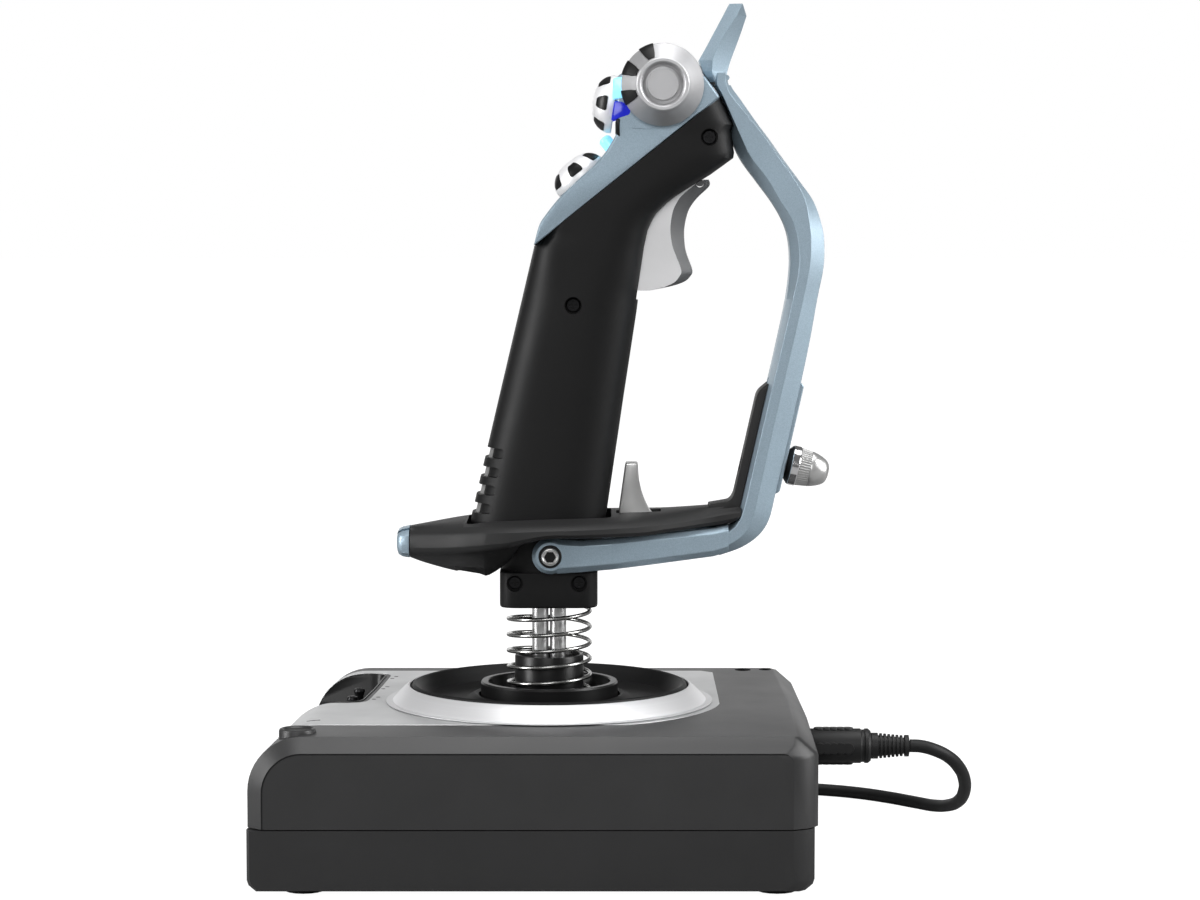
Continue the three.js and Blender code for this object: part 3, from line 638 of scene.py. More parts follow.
def build_base():
    rings = [housing_ring(y, d, BASE["seam"] + 0.15) for y, d in rim_stations(RIM, RIM_DROP)]
    housing = loft("housing", rings, BLACK, 24)
    # The wall of the rim's step takes the dark satin black: a painted shade line along the foot of the rim's
    # bevel.
    housing.data.materials.append(BLACK_DARK)
    for polygon in housing.data.polygons:
        if abs(abs(polygon.center.y) / MM - BASE["half"] + RIM_SHADE_LINE) < 0.01:
            polygon.material_index = 1
    room = prism("room", [(-87, 10), (86, 10), (86, 50.5), (-82, 50.5), (-87, 40)], 80, BLACK_DARK)
    wells = [drill(radius, 51, 60, (x, y, 0)) for x, y, radius in ((74.5, 76.5, 3.2), (83.3, 77.5, 2.5))]
    pocket = plan_cutter(rounded(POCKET, POCKET_CORNER), 41.2, 70)
    socket = drill(7.4, 80, 110, (0, 0, LINK_HEIGHT), FORWARD, 64)
    carve(housing, room, drill(50.1, 40, 70, segments=96), pocket, socket, *wells)
    knuckle = [(0, 50), (6.5, 50), (6.5, 55.5), (6.2, 56.1), (5.6, 56.3), (5.0, 56.0), (4.6, 55.6), (0, 55.4)]
    boss = revolve("boss", knuckle, BLACK, (-86.4, -71, 0))
    place(join("housing", housing, boss), "base", "black_plastic", "base_top_housing")

    # The tub takes the darker black plastic: painted shade low on the base.
    tub = loft("tub", [tub_ring(y, d) for y, d in rim_stations(3.0, 1.6)], TUB_PAINTED_SHADE, 24)
    carve(tub, box_cutter((-86, 86), (-80, 80), (4.2, 30)))
    place(tub, "base", "black_plastic", "base_bottom_cover")


def user_edge_line(offset):
    """The housing's skin over the user's edge, from low on the back to the top, with X from the back."""
    return arc((USER_EDGE, BASE["top"] - USER_EDGE), USER_EDGE + offset, 164.5, 90, 13)


def plate_line(y, offset):
    """The deck plate's upper or lower side at one Y, as an offset from the housing's skin."""
    return [(x + base_back(y), z) for x, z in user_edge_line(offset)] + [(64, BASE["top"] + offset)]


def build_deck_plate():
    """A silver plate let into the top; it curls down over the user's edge."""
    rings = [at_y(plate_line(y, PLATE_PROUD) + plate_line(y, PLATE_UNDER)[::-1], y)
             for y in (-58, -20, 20, 74)]
    plate = loft("plate", rings, SILVER, 24)
    arc_edge = arc((0, 0), 63, -64, -8, 14)
    plan = [(-112, -57), (-60, -57), (-27, -57)] + arc_edge + [(62.5, 8), (62.5, 69), (58, 73), (-112, 73)]
    opening = [(x + 1.5 * (x > -100), y - 1.2 if y < 0 else y + 1.2) for x, y in POCKET]
    carve(plate, plan_cutter(plan, 30, 70), operation="INTERSECT")
    carve(plate, drill(50.2, 40, 70, segments=96), plan_cutter(rounded(opening, POCKET_CORNER), 30, 70),
          box_cutter((-85.4, -80.6), (-47.6, -44.6), (40, 60)))
    round_edges(plate, 0.18, 2, 40)
    place(plate, "base", "silver_metal", "deck_plate")


def build_label_dots():
    """Three pairs of plain dots beside the toggles."""
    profile = [(0, 55.1), (0.8, 55.1), (0.8, 55.2), (0, 55.2)]
    dots = [revolve("dot", profile, BLACK_DARK, (x + step * 0.25, y + step, 0), segments=20)
            for x, y in ((-64.1, 3.5), (-62.3, 29), (-60.5, 55)) for step in (-2.5, 2.5)]
    place(join("label_dots", *dots), "base", "black_plastic")


def build_pocket():
    """The scoop for the toggles: a floor and a rounded wall, open towards the user."""
    outer = rounded(POCKET, POCKET_CORNER)
    tray = loft("tray", [at_height(inset(outer, 0.25), z) for z in (39.5, 55.3)], BLACK_DARK, 24)
    wall = ((41.6, 4.6), (42.2, 3.0), (44.5, 1.9), (53.6, 1.3), (54.6, 0.9), (57, 0.2))
    scoop = loft("scoop", [at_height(inset(outer, d), z) for z, d in wall], BLACK_DARK)
    skin = [(-30, 30)] + [(x + 0.1, z) for x, z in user_edge_line(-0.3)] + [(17, 70), (-30, 70)]
    front = loft("front", [at_y([(x + base_back(y), z) for x, z in skin], y) for y in (-20, 80)], BLACK_DARK)
    carve(tray, scoop, front)
    round_edges(tray, 0.3, 2, 40)
    place(tray, "base", "black_plastic", "toggle_pocket")


def build_toggles():
    profile = [(0, -2.4), (1.6, -2.0), (2.4, -1.0), (2.4, 1.0), (1.5, 2.4), (1.6, 4.2), (2.2, 6.0),
               (1.9, 6.9), (1.0, 7.2), (0, 7.25)]
    for i, y in enumerate((10, 30, 50)):
        name = f"toggle_{i + 1}"
        toggle = revolve(f"toggle_lever_{i + 1}", profile, DARK_STEEL, (-76 + i * 1.2, y, 44.6), segments=32)
        place(toggle, name, "black_plastic", name)


def build_bowl():
    bowl = [(26, 55.4), (50.6, 55.4), (50.6, 60.9), (50.2, 61.6), (49.5, 61.9), (48.7, 61.6), (47.6, 60.3),
            (46.2, 58.2), (44.3, 56.9), (40, 56.2), (31, 56.2), (29.4, 56.7), (28.2, 57.6), (27.2, 57.9),
            (26, 57.6), (26, 55.4)]
    place(revolve("bowl", bowl, SOFT, segments=128, angle=24), "base", "black_plastic", "stick_bowl")
    skirt = [(51.3, 55.4), (60, 55.4), (60, 55.5), (57.6, 55.7), (56.8, 56.6), (55.4, 58.1), (53.8, 59.7),
             (52.5, 60.8), (51.8, 61.2), (51.3, 61.1), (51.3, 55.4)]
    place(revolve("skirt", skirt, SKIRT, segments=128, angle=24), "base", "silver_metal", "bowl_skirt_ring")


def cup_rib(angle):
    """A low rib of the cup that rises towards its wall."""
    rings = []
    for radius, high, half in ((19.0, 53.0, 0.8), (20.6, 55.0, 0.8), (23.0, 57.4, 0.9)):
        across = Vector((-math.sin(angle), math.cos(angle), 0)) * half
        foot = on_circle(1, angle) * radius + Vector((0, 0, CUP_FLOOR))
        top = on_circle(1, angle) * radius + Vector((0, 0, high))
        rings.append([foot - across, foot + across, top + across, top - across])
    return loft("rib", rings, BLACK_DARK)


def build_cup():
    profile = [(13.8, 50.2), (25.2, 50.2), (25.2, 61.8), (24.8, 62.5), (22.9, 62.5), (22.5, 62.1), (22.3, 60),
               (21.8, 58.4), (21.4, CUP_FLOOR), (13.8, CUP_FLOOR), (13.8, 50.2)]
    cup = revolve("cup", profile, BLACK_DARK, segments=96, angle=24)
    ribs = [cup_rib(2 * math.pi * (i + 0.5) / 8) for i in range(8)]
    place(join("cup_piece", cup, *ribs), "base", "black_plastic", "centring_cup")


# ---- centring spring: a coil of wire in two stretches, from the cup up to the collar ----
SPRING = {"radius": 15.0, "wire": 0.75, "low": 53.1, "high": 91.3, "turns": 6.5}


def spring_height(t):
    return mix(SPRING["low"], SPRING["high"], t)


def spring_part(name, start, end):
    """A stretch of the coil spring between two fractions of its height, as a tube mesh."""
    steps = int(SPRING["turns"] * 40 * (end - start))
    around = [2 * math.pi * k / 12 for k in range(12)]
    rings = []
    for i in range(steps + 1):
        t = start + (end - start) * i / steps
        angle = t * SPRING["turns"] * 2 * math.pi
        centre = on_circle(SPRING["radius"], angle, spring_height(t))
        outwards = on_circle(1, angle)
        rings.append([centre + (outwards * math.cos(a) + Vector((0, 0, 1)) * math.sin(a)) * SPRING["wire"]
                      for a in around])
    part = loft(name, rings, WIRE, 60)
    return part


def build_spring():
    """The lowest coil, which sits in the cup, is one piece and the rest of the coil another."""
    seated, leaning = 0.085, 0.17
    lower = spring_part("spring_lower", 0, seated)
    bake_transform(lower)
    upper = spring_part("spring_upper", seated, 1)
    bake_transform(upper)
    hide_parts("centring_spring")


def build_shafts():
    rod = [(0, 60), (3, 60), (3, 92.0), (0, 92.0)]
    for name, x in (("shaft_front", 3.25), ("shaft_rear", -3.25)):
        place(revolve(name + "_rod", rod, SHAFT, (x, 0, 0), segments=48), "stick", "chrome", name)
    sleeve = [(7.4, 30), (9, 30), (9, 44), (8.6, 46), (8.6, 57.6), (12.2, 59.4), (12.6, 60), (12.6, 71.6),
              (12.3, 72.3), (11.7, 72.4), (11.3, 72.1), (11.1, 70.8), (7.4, 70.6), (7.4, 30)]
    turned = revolve("sleeve_turned", sleeve, BLACK_DARK, segments=96, angle=24)
    place(turned, "gimbal_roll", "black_plastic", "stick_sleeve")


# ---- neck collar ----
def screw_head(origin, radius):
    """A recessed screw that faces the user's right, with a cross cut in its head."""
    profile = [(0, -1), (radius, -1), (radius, 0), (radius - 0.3, 0.2), (0, 0.2)]
    head = revolve("screw", profile, DARK_STEEL, origin, TO_RIGHT, 32)
    x, y, z = origin
    bars = [box_cutter((x - a, x + a), (y - 2, y + 0.6), (z - b, z + b))
            for a, b in ((radius * 0.6, 0.35), (0.35, radius * 0.6))]
    return carve(head, *bars)


def build_collar():
    plan = rounded([(-17.8, -17.8), (17.8, -17.8), (17.8, 17.8), (-17.8, 17.8)], 7, 8)
    sections = [(91.3, 0.35), (91.6, 0.1), (92.2, 0.0), (104, 0.0)]
    collar = loft("collar", [at_height(inset(plan, d), z) for z, d in sections], SOFT, 24)
    screw_places = [(x, 0, 100.3) for x in (-12.2, 11.1)]
    wells = [drill(3.0, -25, -14.6, centre, TO_LEFT) for centre in screw_places]
    groove = [(13.8, 90), (16.3, 90), (16.3, 92.7), (13.8, 92.7), (13.8, 90)]
    carve(collar, drill(8.2, 80, 97, segments=64), revolve("spring_seat", groove, BLACK_DARK), *wells)
    screws = [screw_head((x, -14.8, z), 2.35) for x, y, z in screw_places]
    place(join("collar_piece", collar, *screws), "stick", "black_plastic", "neck_collar")


# ---- grip: level sections lofted up a side view, then cut along the head's slope ----
HEAD = {"corner": (-2.8, 224.6), "angle": math.radians(38.4)}
GRIP_HALF = 17.2
GRIP_POINTS = 64
# The grip's back and front edges, as (Z, X).
GRIP_BACK = [(103, -17.0), (105, -17.6), (108, -19.5), (113, -23.5), (119, -28.4), (123, -28.6),
             (222.4, -5.2), (226, -2.9), (290, -2.9)]
GRIP_FRONT = [(103, 17.0), (107, 17.4), (112, 18.6), (117, 20), (165.8, 27.1), (198.7, 32.1),
              (221.7, 34.9), (228, 36.2), (233.4, 38.7), (238.8, 44.2), (243.4, 51.2), (247.9, 58.7),
              (254.4, 67.6), (258, 67.0), (263.8, 66.2), (266, 67.2), (276.1, 62.3), (285, 60)]


def grip_section(z, shrink=0.0):
    """One level section: an egg-like superellipse, squarer towards the head."""
    back, front = along(GRIP_BACK, z) + shrink, along(GRIP_FRONT, z) - shrink
    centre, a, b = (back + front) / 2, (front - back) / 2, GRIP_HALF - shrink
    power = mix(2.5, 4.2, (z - 205) / 40)
    ring = []
    for i in range(GRIP_POINTS):
        turn = 2 * math.pi * i / GRIP_POINTS
        c, s = math.cos(turn), math.sin(turn)
        ring.append((centre + a * math.copysign(abs(c) ** (2 / power), c),
                     b * math.copysign(abs(s) ** (2 / power), s), z))
    return ring


def in_head(u, v):
    """World (X, Z) of a point u along the head's slope and v above it."""
    c, s = math.cos(HEAD["angle"]), math.sin(HEAD["angle"])
    return (HEAD["corner"][0] + u * c - v * s, HEAD["corner"][1] + u * s + v * c)


TRIGGER_SLOT = [(64, 249), (55, 252), (36, 243), (25.5, 232), (23.5, 202.5), (45, 202.5), (62, 230)]
NOTCHES = (147.1, 140.2, 133.7, 127.0)


GRIP_SCREWS = ((58.0, 261.4), (9.0, 201.0))


def cut_half(obj, side):
    """Keeps the part of the grip on one side of a thin gap down its middle."""
    bm = bmesh.new()
    bm.from_mesh(obj.data)
    geometry = bm.verts[:] + bm.edges[:] + bm.faces[:]
    cut = bmesh.ops.bisect_plane(bm, geom=geometry, plane_co=(0, side * 0.12 * MM, 0), plane_no=(0, -side, 0),
                                 clear_outer=True)
    rim = [part for part in cut["geom_cut"] if isinstance(part, bmesh.types.BMEdge)]
    bmesh.ops.edgeloop_fill(bm, edges=rim)
    bm.to_mesh(obj.data)
    bm.free()
    smooth_by_angle(obj, 30)


def notch_cutters(core):
    """The notches across the back of the grip, as deep as its core."""
    cutters = []
    for z in NOTCHES:
        low, high = along(GRIP_BACK, z) - 8, along(GRIP_BACK, z) + 6.8
        outline = [(low, z - 1.85), (high, z - 1.85), (high, z + 1.85), (low, z + 1.85)]
        cutters.append(carve(prism("notch", rounded(outline, 1.8, 5), 24, SOFT), core, keep=True))
    return cutters


def build_grip():
    heights = [103 + 1.5 * i for i in range(15)] + [126 + 4 * i for i in range(20)]
    heights += [206 + 2 * i for i in range(42)]
    body = loft("grip", [grip_section(z) for z in heights], SOFT, 30)
    core = loft("core", [grip_section(z, 2.3) for z in heights if 115 < z < 160], SOFT)
    above = [in_head(-30, 0), in_head(140, 0), in_head(140, 90), in_head(-30, 90)]
    cutters = [prism("above", above, 30, SOFT), prism("trigger_cut", TRIGGER_SLOT, 6.6, BLACK_DARK)]
    cutters += notch_cutters(core)
    cutters += [drill(3.1, -24, -12.5, (x, 0, z), TO_LEFT) for x, z in GRIP_SCREWS]
    bpy.data.objects.remove(core)
    carve(body, *cutters)
    screws = [screw_head((x, -13.2, z), 2.5) for x, z in GRIP_SCREWS]
    trim = [(along(GRIP_BACK, z) + x, z) for z, x in ((124.5, 1.3), (149.2, 1.3), (149.2, 3.4), (124.5, 3.4))]
    screws.append(prism("notch_trim", trim, 4.2, NICKEL))
    left = body.copy()
    left.data = body.data.copy()
    bpy.context.scene.collection.objects.link(left)
    cut_half(body, -1)
    cut_half(left, 1)
    place(join("grip_right", body, *screws), "stick", "grip_rubber", "grip_right_shell")
    left.name = "grip_left"
    place(left, "stick", "grip_rubber", "grip_left_shell")


# ---- head: cover, hats, buttons and dial ----
HAT_POST_X = 24.6
UPPER_HAT_Z = 273.4
LOWER_HAT_U = 25.3
COVER_HALF = 15.6
COVER_OUTLINE = [in_head(-3.4, -0.2), in_head(82.4, -0.2), (56.2, 283.6), (50, 287.5), (31, 286),
                 (HAT_POST_X, 283.5), (HAT_POST_X, 262.5), in_head(36, 9.3), in_head(25, 8.6),
                 in_head(14, 7.7), in_head(3.4, 4.9)]
HEAD_NORMAL = (-math.sin(HEAD["angle"]), 0, math.cos(HEAD["angle"]))
HEAD_ALONG = (math.cos(HEAD["angle"]), 0, math.sin(HEAD["angle"]))
FIRE = {"u": 40.6, "low": 7, "high": 15.0}
LAUNCH = {"low": 80.5, "high": 84.6, "v": 6.4}


def on_head(u, v):
    """A point of the middle plane, u along the head's slope and v above it."""
    x, z = in_head(u, v)
    return (x, 0.0, z)


def seam_cutters(start, end):
    """A pair of fine seam grooves between two (X, Z) points, one in each side of the cover."""
    (x0, z0), (x1, z1) = start, end
    across = Vector((z0 - z1, x1 - x0)).normalized() * 0.11
    strip = [(x0 - across.x, z0 - across.y), (x1 - across.x, z1 - across.y),
             (x1 + across.x, z1 + across.y), (x0 + across.x, z0 + across.y)]
    depths = (COVER_HALF + 0.4, COVER_HALF + 3)
    return [loft("seam", [at_y(strip, side * y) for y in depths], BLUE) for side in (-1, 1)]


def build_head_cover():
    corners = [0.8, 1.2, 3, 3, 3, 2, 1.5, 6, 5, 5, 2.2]
    cover = pillow("cover", COVER_OUTLINE, corners, COVER_HALF + 0.7, 3.4, 0.75, BLUE, 5)
    carve(cover, drill(11.6, 5.8, 30, on_head(LOWER_HAT_U, 0), HEAD_NORMAL, 96),
          drill(11.6, 0, 30, (28.5, 0, UPPER_HAT_Z), BACKWARD, 96))
    cutters = [drill(2.75, -1, 30, on_head(FIRE["u"], 2), HEAD_NORMAL),
               drill(2, -4, 30, on_head(LOWER_HAT_U, 2), HEAD_NORMAL),
               drill(2.5, 0, 9, on_head(78, LAUNCH["v"]), HEAD_ALONG)]
    for line in ([(30.2, 264.6), (36.8, 264.2), (39.2, 265.6)], [(37.8, 264.8), (41.4, 260.4)]):
        for start, end in zip(line, line[1:]):
            cutters += seam_cutters(start, end)
    carve(cover, *cutters)
    place(cover, "stick", "blue_metal", "head_cover")


def build_head_buttons():
    high = FIRE["high"] - FIRE["low"]
    lens = [(0, 0), (2.4, 0), (2.4, high - 1.6), (2.2, high - 0.9), (1.5, high - 0.25), (0, high)]
    fire = revolve("fire_lens", lens, CYAN, on_head(FIRE["u"], FIRE["low"]), HEAD_NORMAL, 40)
    place(fire, "fire_button", "lit_cyan", "fire_button")
    collar = [(2.8, 7.6), (4.6, 7.6), (4.6, 8.6), (4.0, 9.1), (2.8, 9.1), (2.8, 7.6)]
    place(revolve("fire_collar", collar, CYAN, on_head(FIRE["u"], 0), HEAD_NORMAL, 40), "stick", "lit_cyan")
    long = LAUNCH["high"] - LAUNCH["low"]
    button = [(0, 0), (2.2, 0), (2.2, long - 0.5), (1.8, long), (0, long)]
    launch = revolve("launch_lens", button, GREY, on_head(LAUNCH["low"], LAUNCH["v"]), HEAD_ALONG, 40)
    place(launch, "launch_button", "silver_metal", "launch_button")


HAT_DOME = [(10.5, 0.9), (10.2, 2.2), (9.6, 3.6), (8.7, 4.8), (7.4, 5.9), (5.8, 6.7), (4, 7.2), (2, 7.5)]
HAT_RIM = [(0, 2.2), (3, 2.2), (8.4, 1.6), (9.2, -0.6), (10.1, -0.6), (10.4, -0.3)]
HAT_PROFILE = HAT_RIM + HAT_DOME + [(0, 7.6)]
HAT_TILT = math.radians(8)
UPPER_HAT = {"pivot": (23.5, 0, UPPER_HAT_Z), "axis": (-math.cos(HAT_TILT), 0, math.sin(HAT_TILT))}
LOWER_HAT = {"pivot": on_head(LOWER_HAT_U, 8.2), "axis": HEAD_NORMAL}


def surface_patch(name, line, centre_angle, half_angles, material, proud, origin, direction):
    """A thin raised patch that follows a lathe profile line, from one half-angle at its start to another."""
    turn = frame_on(origin, direction)
    rows, columns = len(line), 8
    points, faces = [], []
    for lift in (-0.2, proud):
        for row, (radius, height) in enumerate(line):
            part_way = row / (rows - 1)
            half = mix(half_angles[0], half_angles[1], part_way)
            squeeze = 1 - 0.25 * abs(2 * part_way - 1) ** 4
            before, after = line[max(row - 1, 0)], line[min(row + 1, rows - 1)]
            out = Vector((before[1] - after[1], after[0] - before[0])).normalized()
            if out.y < 0:
                out = -out
            r, h = radius + out.x * lift, height + out.y * lift
            for column in range(columns + 1):
                angle = math.radians(centre_angle + half * squeeze * (2 * column / columns - 1))
                points.append(turn @ on_circle(r, angle, h))
    width = columns + 1
    layer = rows * width
    for row in range(rows - 1):
        for column in range(columns):
            a = row * width + column
            faces.append((a, a + 1, a + 1 + width, a + width))
            faces.append((a + layer, a + width + layer, a + 1 + width + layer, a + 1 + layer))
    border = [row * width for row in range(rows)]
    border += [(rows - 1) * width + column for column in range(1, width)]
    border += [row * width + columns for row in range(rows - 2, -1, -1)]
    border += list(range(columns - 1, 0, -1))
    for a, b in zip(border, border[1:] + border[:1]):
        faces.append((a, b, b + layer, a + layer))
    return make(name, points, faces, material)


def dome_line(start, end):
    """The stretch of the hat's dome between two radii, from the rim inwards."""
    return [(r, h) for r, h in spline(HAT_DOME, 4) if end <= r <= start]


def build_hat(name, hat):
    pivot, axis = hat["pivot"], hat["axis"]
    dome = revolve(name + "_dome", HAT_PROFILE, PEARL, pivot, axis, 96, 24)
    line = dome_line(10.3, 7.0)
    inserts = [surface_patch("insert", line, 60 * i, (17, 13), BLACK_DARK, 0.14, pivot, axis)
               for i in range(6)]
    place(join(name + "_dome", dome, *inserts), name, "white_silver", name + "_cap")


LIGHT_GUIDES = (
    ("cyan_guide", [(23.2, 282.4), (28.2, 283.4), (28.2, 275.4), (23.2, 274.8)], CYAN, "lit_cyan"),
    ("blue_guide", [(22.6, 267.2), (29.4, 269.4), (30.0, 272.2), (26.6, 274.2), (23.8, 274.4)], DEEP_BLUE,
     "lit_blue"),
    ("post_edge", [(24.3, 262.6), (25.9, 261.2), (25.9, 268.4), (24.3, 267.8)], BLACK_DARK, "black_plastic"),
)


def build_hats():
    build_hat("upper_hat", UPPER_HAT)
    build_hat("lower_hat", LOWER_HAT)
    glow = [(8.6, 0), (10.9, 0), (10.9, 0.6), (8.6, 0.6), (8.6, 0)]
    ring = revolve("glow_ring", glow, DEEP_BLUE, (28.2, 0, UPPER_HAT_Z), BACKWARD, 64)
    place(ring, "stick", "lit_blue", "hat_light_ring")
    for name, outline, material, slot in LIGHT_GUIDES:
        for side, reach in (("right", (-11.9, 40)), ("left", (-40, 11.9))):
            guide = pillow(name, outline, 0.7, COVER_HALF + 1.0, 0.8, 0.45, material, 3)
            carve(guide, box_cutter((0, 60), reach, (250, 300)))
            guide.name = f"{name}_{side}"
            place(guide, "stick", slot)


DIAL_START = (DIAL_CENTRE[0], -16, DIAL_CENTRE[2])


def dial_angle(seen):
    """Turns an angle as the camera sees it, anticlockwise from +X, into one about the dial's own axis."""
    want = Vector((math.cos(math.radians(seen)), 0, math.sin(math.radians(seen))))
    local = frame_on((0, 0, 0), TO_RIGHT).inverted() @ want
    return math.degrees(math.atan2(local.y, local.x))


def build_dial():
    profile = [(0, 0), (13.6, 0), (14.4, 0.5), (14.8, 1.4), (14.8, 3.2), (14.5, 3.9), (9.9, 8.6), (9.6, 9.2),
               (9.5, 10.6), (9.1, 11), (8.2, 11), (7.8, 10.6), (7.7, 9.9), (7.0, 9.0), (6.2, 8.7), (5.7, 8.8),
               (5.6, 9.8), (0, 9.8)]
    dial = revolve("dial", profile, DIAL, DIAL_START, TO_RIGHT, 128, 22)
    cone = [(14.85, 2.0), (14.8, 3.2), (14.5, 3.9), (12.9, 5.5), (11.3, 7.1), (9.9, 8.6)]
    slots = [surface_patch("slot", cone, dial_angle(a), (11.5, 9), BLACK_DARK, 0.35, DIAL_START, TO_RIGHT)
             for a in (114, 156, 199)]
    disc = revolve("disc", [(0, 9.7), (5.5, 9.7), (5.5, 9.95), (0, 9.95)], DISC, DIAL_START, TO_RIGHT, 64)
    place(join("dial_piece", dial, disc, *slots), "mode_dial", "silver_metal", "mode_dial")


COVER_HINGE = (64.3, 0, 282.8)
# Level sections of the fin: height, then X of its rear edge, its ridge and its front edge.
FIN = [(281.4, 58.6, 60.2, 64.4), (283.0, 57.2, 59.5, 64.5), (285.2, 55.9, 59.1, 64.8),
       (289.2, 54.5, 59.3, 66.0), (295.3, 57.9, 61.8, 68.3), (300.0, 60.4, 64.6, 70.0),
       (305.2, 63.2, 68.0, 71.7), (309.4, 65.4, 69.9, 70.4)]
# Half-widths of the same three edges.
FIN_HALF = (6.6, 8.2, 2.6)


def build_fin():
    rings = []
    for z, rear, ridge, front in FIN:
        side = list(zip((rear, ridge, front), FIN_HALF))
        rings.append([(x, -y, z) for x, y in side] + [(x, y, z) for x, y in reversed(side)])
    fin = loft("fin", rings, BLUE, 10)
    pocket = box_cutter((50, 61.4), (-3.8, 3.8), (270, 287.4))
    carve(fin, pocket, drill(1.3, -20, 20, COVER_HINGE, TO_LEFT))
    round_edges(fin, 0.4, 2, 8)
    smooth_by_angle(fin, 10)
    place(fin, "safety_cover", "blue_metal", "safety_cover")


# ---- hand frame: a faceted bow swept down to two arms ----
SLOPE = 0.225


def frame_inner(z):
    return 79.6 + SLOPE * (z - 171.3)


# Each station: inner edge, inner side line, outer side line, outer edge, all (X, Z).
BOW = [
    [(60.4, 284.6), (61.1, 284.6), (63.8, 284.8), (64.6, 284.6)],
    [(59.8, 280.6), (60.8, 280.5), (64.2, 280.2), (66.2, 279.6)],
    [(61.8, 276.8), (62.8, 276.6), (66.2, 276.0), (69.2, 275.4)],
    [(66.0, 267.4), (66.9, 267.4), (72.9, 267.9), (75.2, 266.9)],
    [(66.4, 261.0), (69.6, 261.4), (77.6, 262.0), (79.6, 261.1)],
    [(69.6, 253.6), (73.2, 254.2), (83.0, 254.4), (84.6, 254.1)],
    [(75.6, 245.4), (79.4, 246.1), (88.6, 246.6), (90.8, 245.8)],
    [(81.4, 237.6), (83.9, 238.4), (92.6, 239.4), (96.0, 238.4)],
    [(85.4, 230.4), (88.3, 231.3), (94.2, 231.9), (98.9, 230.4)],
    [(87.3, 223.6), (90.3, 224.0), (95.0, 224.4), (100.0, 224.0)],
    [(87.7, 215.0), (90.8, 215.4), (94.6, 215.4), (99.8, 214.4)],
    [(86.4, 203.0), (88.6, 203.4), (92.4, 203.6), (97.6, 203.0)],
    [(frame_inner(186), 186), (84.8, 186.4), (88.6, 186.8), (frame_inner(186) + 11.7, 186)],
    [(frame_inner(165), 165), (79.9, 165.4), (83.8, 165.8), (frame_inner(165) + 12, 165)],
    [(frame_inner(148), 148), (76.0, 148.4), (80.0, 148.8), (frame_inner(148) + 12, 148)],
    [(frame_inner(134), 134), (72.8, 134.0), (76.7, 133.8), (frame_inner(132) + 12, 132.2)],
    [(69.3, 126.2), (70.8, 125.8), (74.5, 124.4), (80.4, 122.6)],
    [(67.2, 121.6), (68.4, 120.8), (71.5, 118.2), (76.6, 116.7)],
    [(63.8, 118.8), (64.6, 117.9), (66.8, 114.4), (70.3, 112.3)],
    [(59.6, 117.2), (59.9, 116.4), (61.2, 111.9), (62.2, 109.4)],
]
# Half-widths of the same four lines.
BOW_HALF = (5.0, 11.0, 11.0, 6.5)
SLOT_HALF = 2.6


def bow_mesh(grow, material):
    """The bow, grown by a clearance when it serves as a cutter."""
    rings = []
    for numbers in spline([tuple(number for point in station for number in point) for station in BOW], 4):
        station = list(zip(numbers[::2], numbers[1::2]))
        centre_x = sum(p[0] for p in station) / 4
        centre_z = sum(p[1] for p in station) / 4
        moved = []
        for (x, z), half in zip(station, BOW_HALF):
            away = Vector((x - centre_x, z - centre_z)).normalized() * grow
            moved.append((x + away.x, half + grow, z + away.y))
        rings.append([(x, -y, z) for x, y, z in moved] + moved[::-1])
    return loft("bow", rings, material, 20)


ARM_BOTTOM = [(-6, 110.8), (0.7, 104.2), (11, 104.8), (38.7, 107.3), (60, 109.4), (68.3, 111.6), (74, 114)]
ARM_TOP = [(-6, 110.8), (0.7, 117.2), (11, 116.4), (24, 117.2), (38.7, 118.3), (60, 119.6), (66, 121),
           (74, 122)]
ARM_OUT = [(-8, 23.5), (24, 23.5), (64, 11), (78, 11)]
ARM_IN = [(-8, 18.5), (22, 18.5), (62, 5), (78, 5)]
ARM_BEVEL = 2.0
BOLT = (0.7, 0, 110.8)


def build_arm(side):
    rings = []
    for x in (65.5, 60, 52, 44, 36, 28, 23, 18, 12, 7, 3):
        inner, out, low, high = [along(line, x) for line in (ARM_IN, ARM_OUT, ARM_BOTTOM, ARM_TOP)]
        section = [(inner, low + 1), (inner + 1, low), (out - ARM_BEVEL, low), (out, low + 2.3),
                   (out, high - 1.9), (out - ARM_BEVEL, high), (inner + 1, high), (inner, high - 1)]
        rings.append([(x, side * y, z) for y, z in section])
    return round_edges(loft("arm", rings, BLUE, 14), 0.35, 2, 12)


def build_boss(side):
    """The round end of an arm, where its bolt goes."""
    profile = [(0, 18.5), (6.2, 18.5), (6.55, 19), (6.55, 21.3), (5.2, 23.4), (4.6, 23.6), (0, 23.6)]
    return revolve("boss", profile, BLUE, BOLT, (0, side, 0), 64, 20)


def build_hand_frame():
    bow = bow_mesh(0, BLUE)
    slot = box_cutter((60, 110), (-SLOT_HALF, SLOT_HALF), (137, 174))
    notch = box_cutter((50, 80), (-8.6, 8.6), (280.2, 300))
    carve(bow, slot, notch)
    smooth_by_angle(bow, 20)
    round_edges(bow, 0.45, 2, 20)
    arms = [build(side) for side in (-1, 1) for build in (build_arm, build_boss)]
    place(join("hand_frame_bow", bow, *arms), "stick", "blue_metal", "hand_frame")


def build_slot_plate():
    corners = ((131.6, 11.6), (132.6, 13.4), (171.6, 13.4), (172.6, 11.6))
    outline = [(frame_inner(z) + out, z) for z, out in corners]
    plate = pillow("slot_plate_piece", outline, 0.8, 6.2, 0.8, 0.4, BLUE, 2)
    carve(plate, box_cutter((60, 110), (-SLOT_HALF, SLOT_HALF), (137, 171)))
    place(plate, "stick", "blue_metal", "slot_plate")


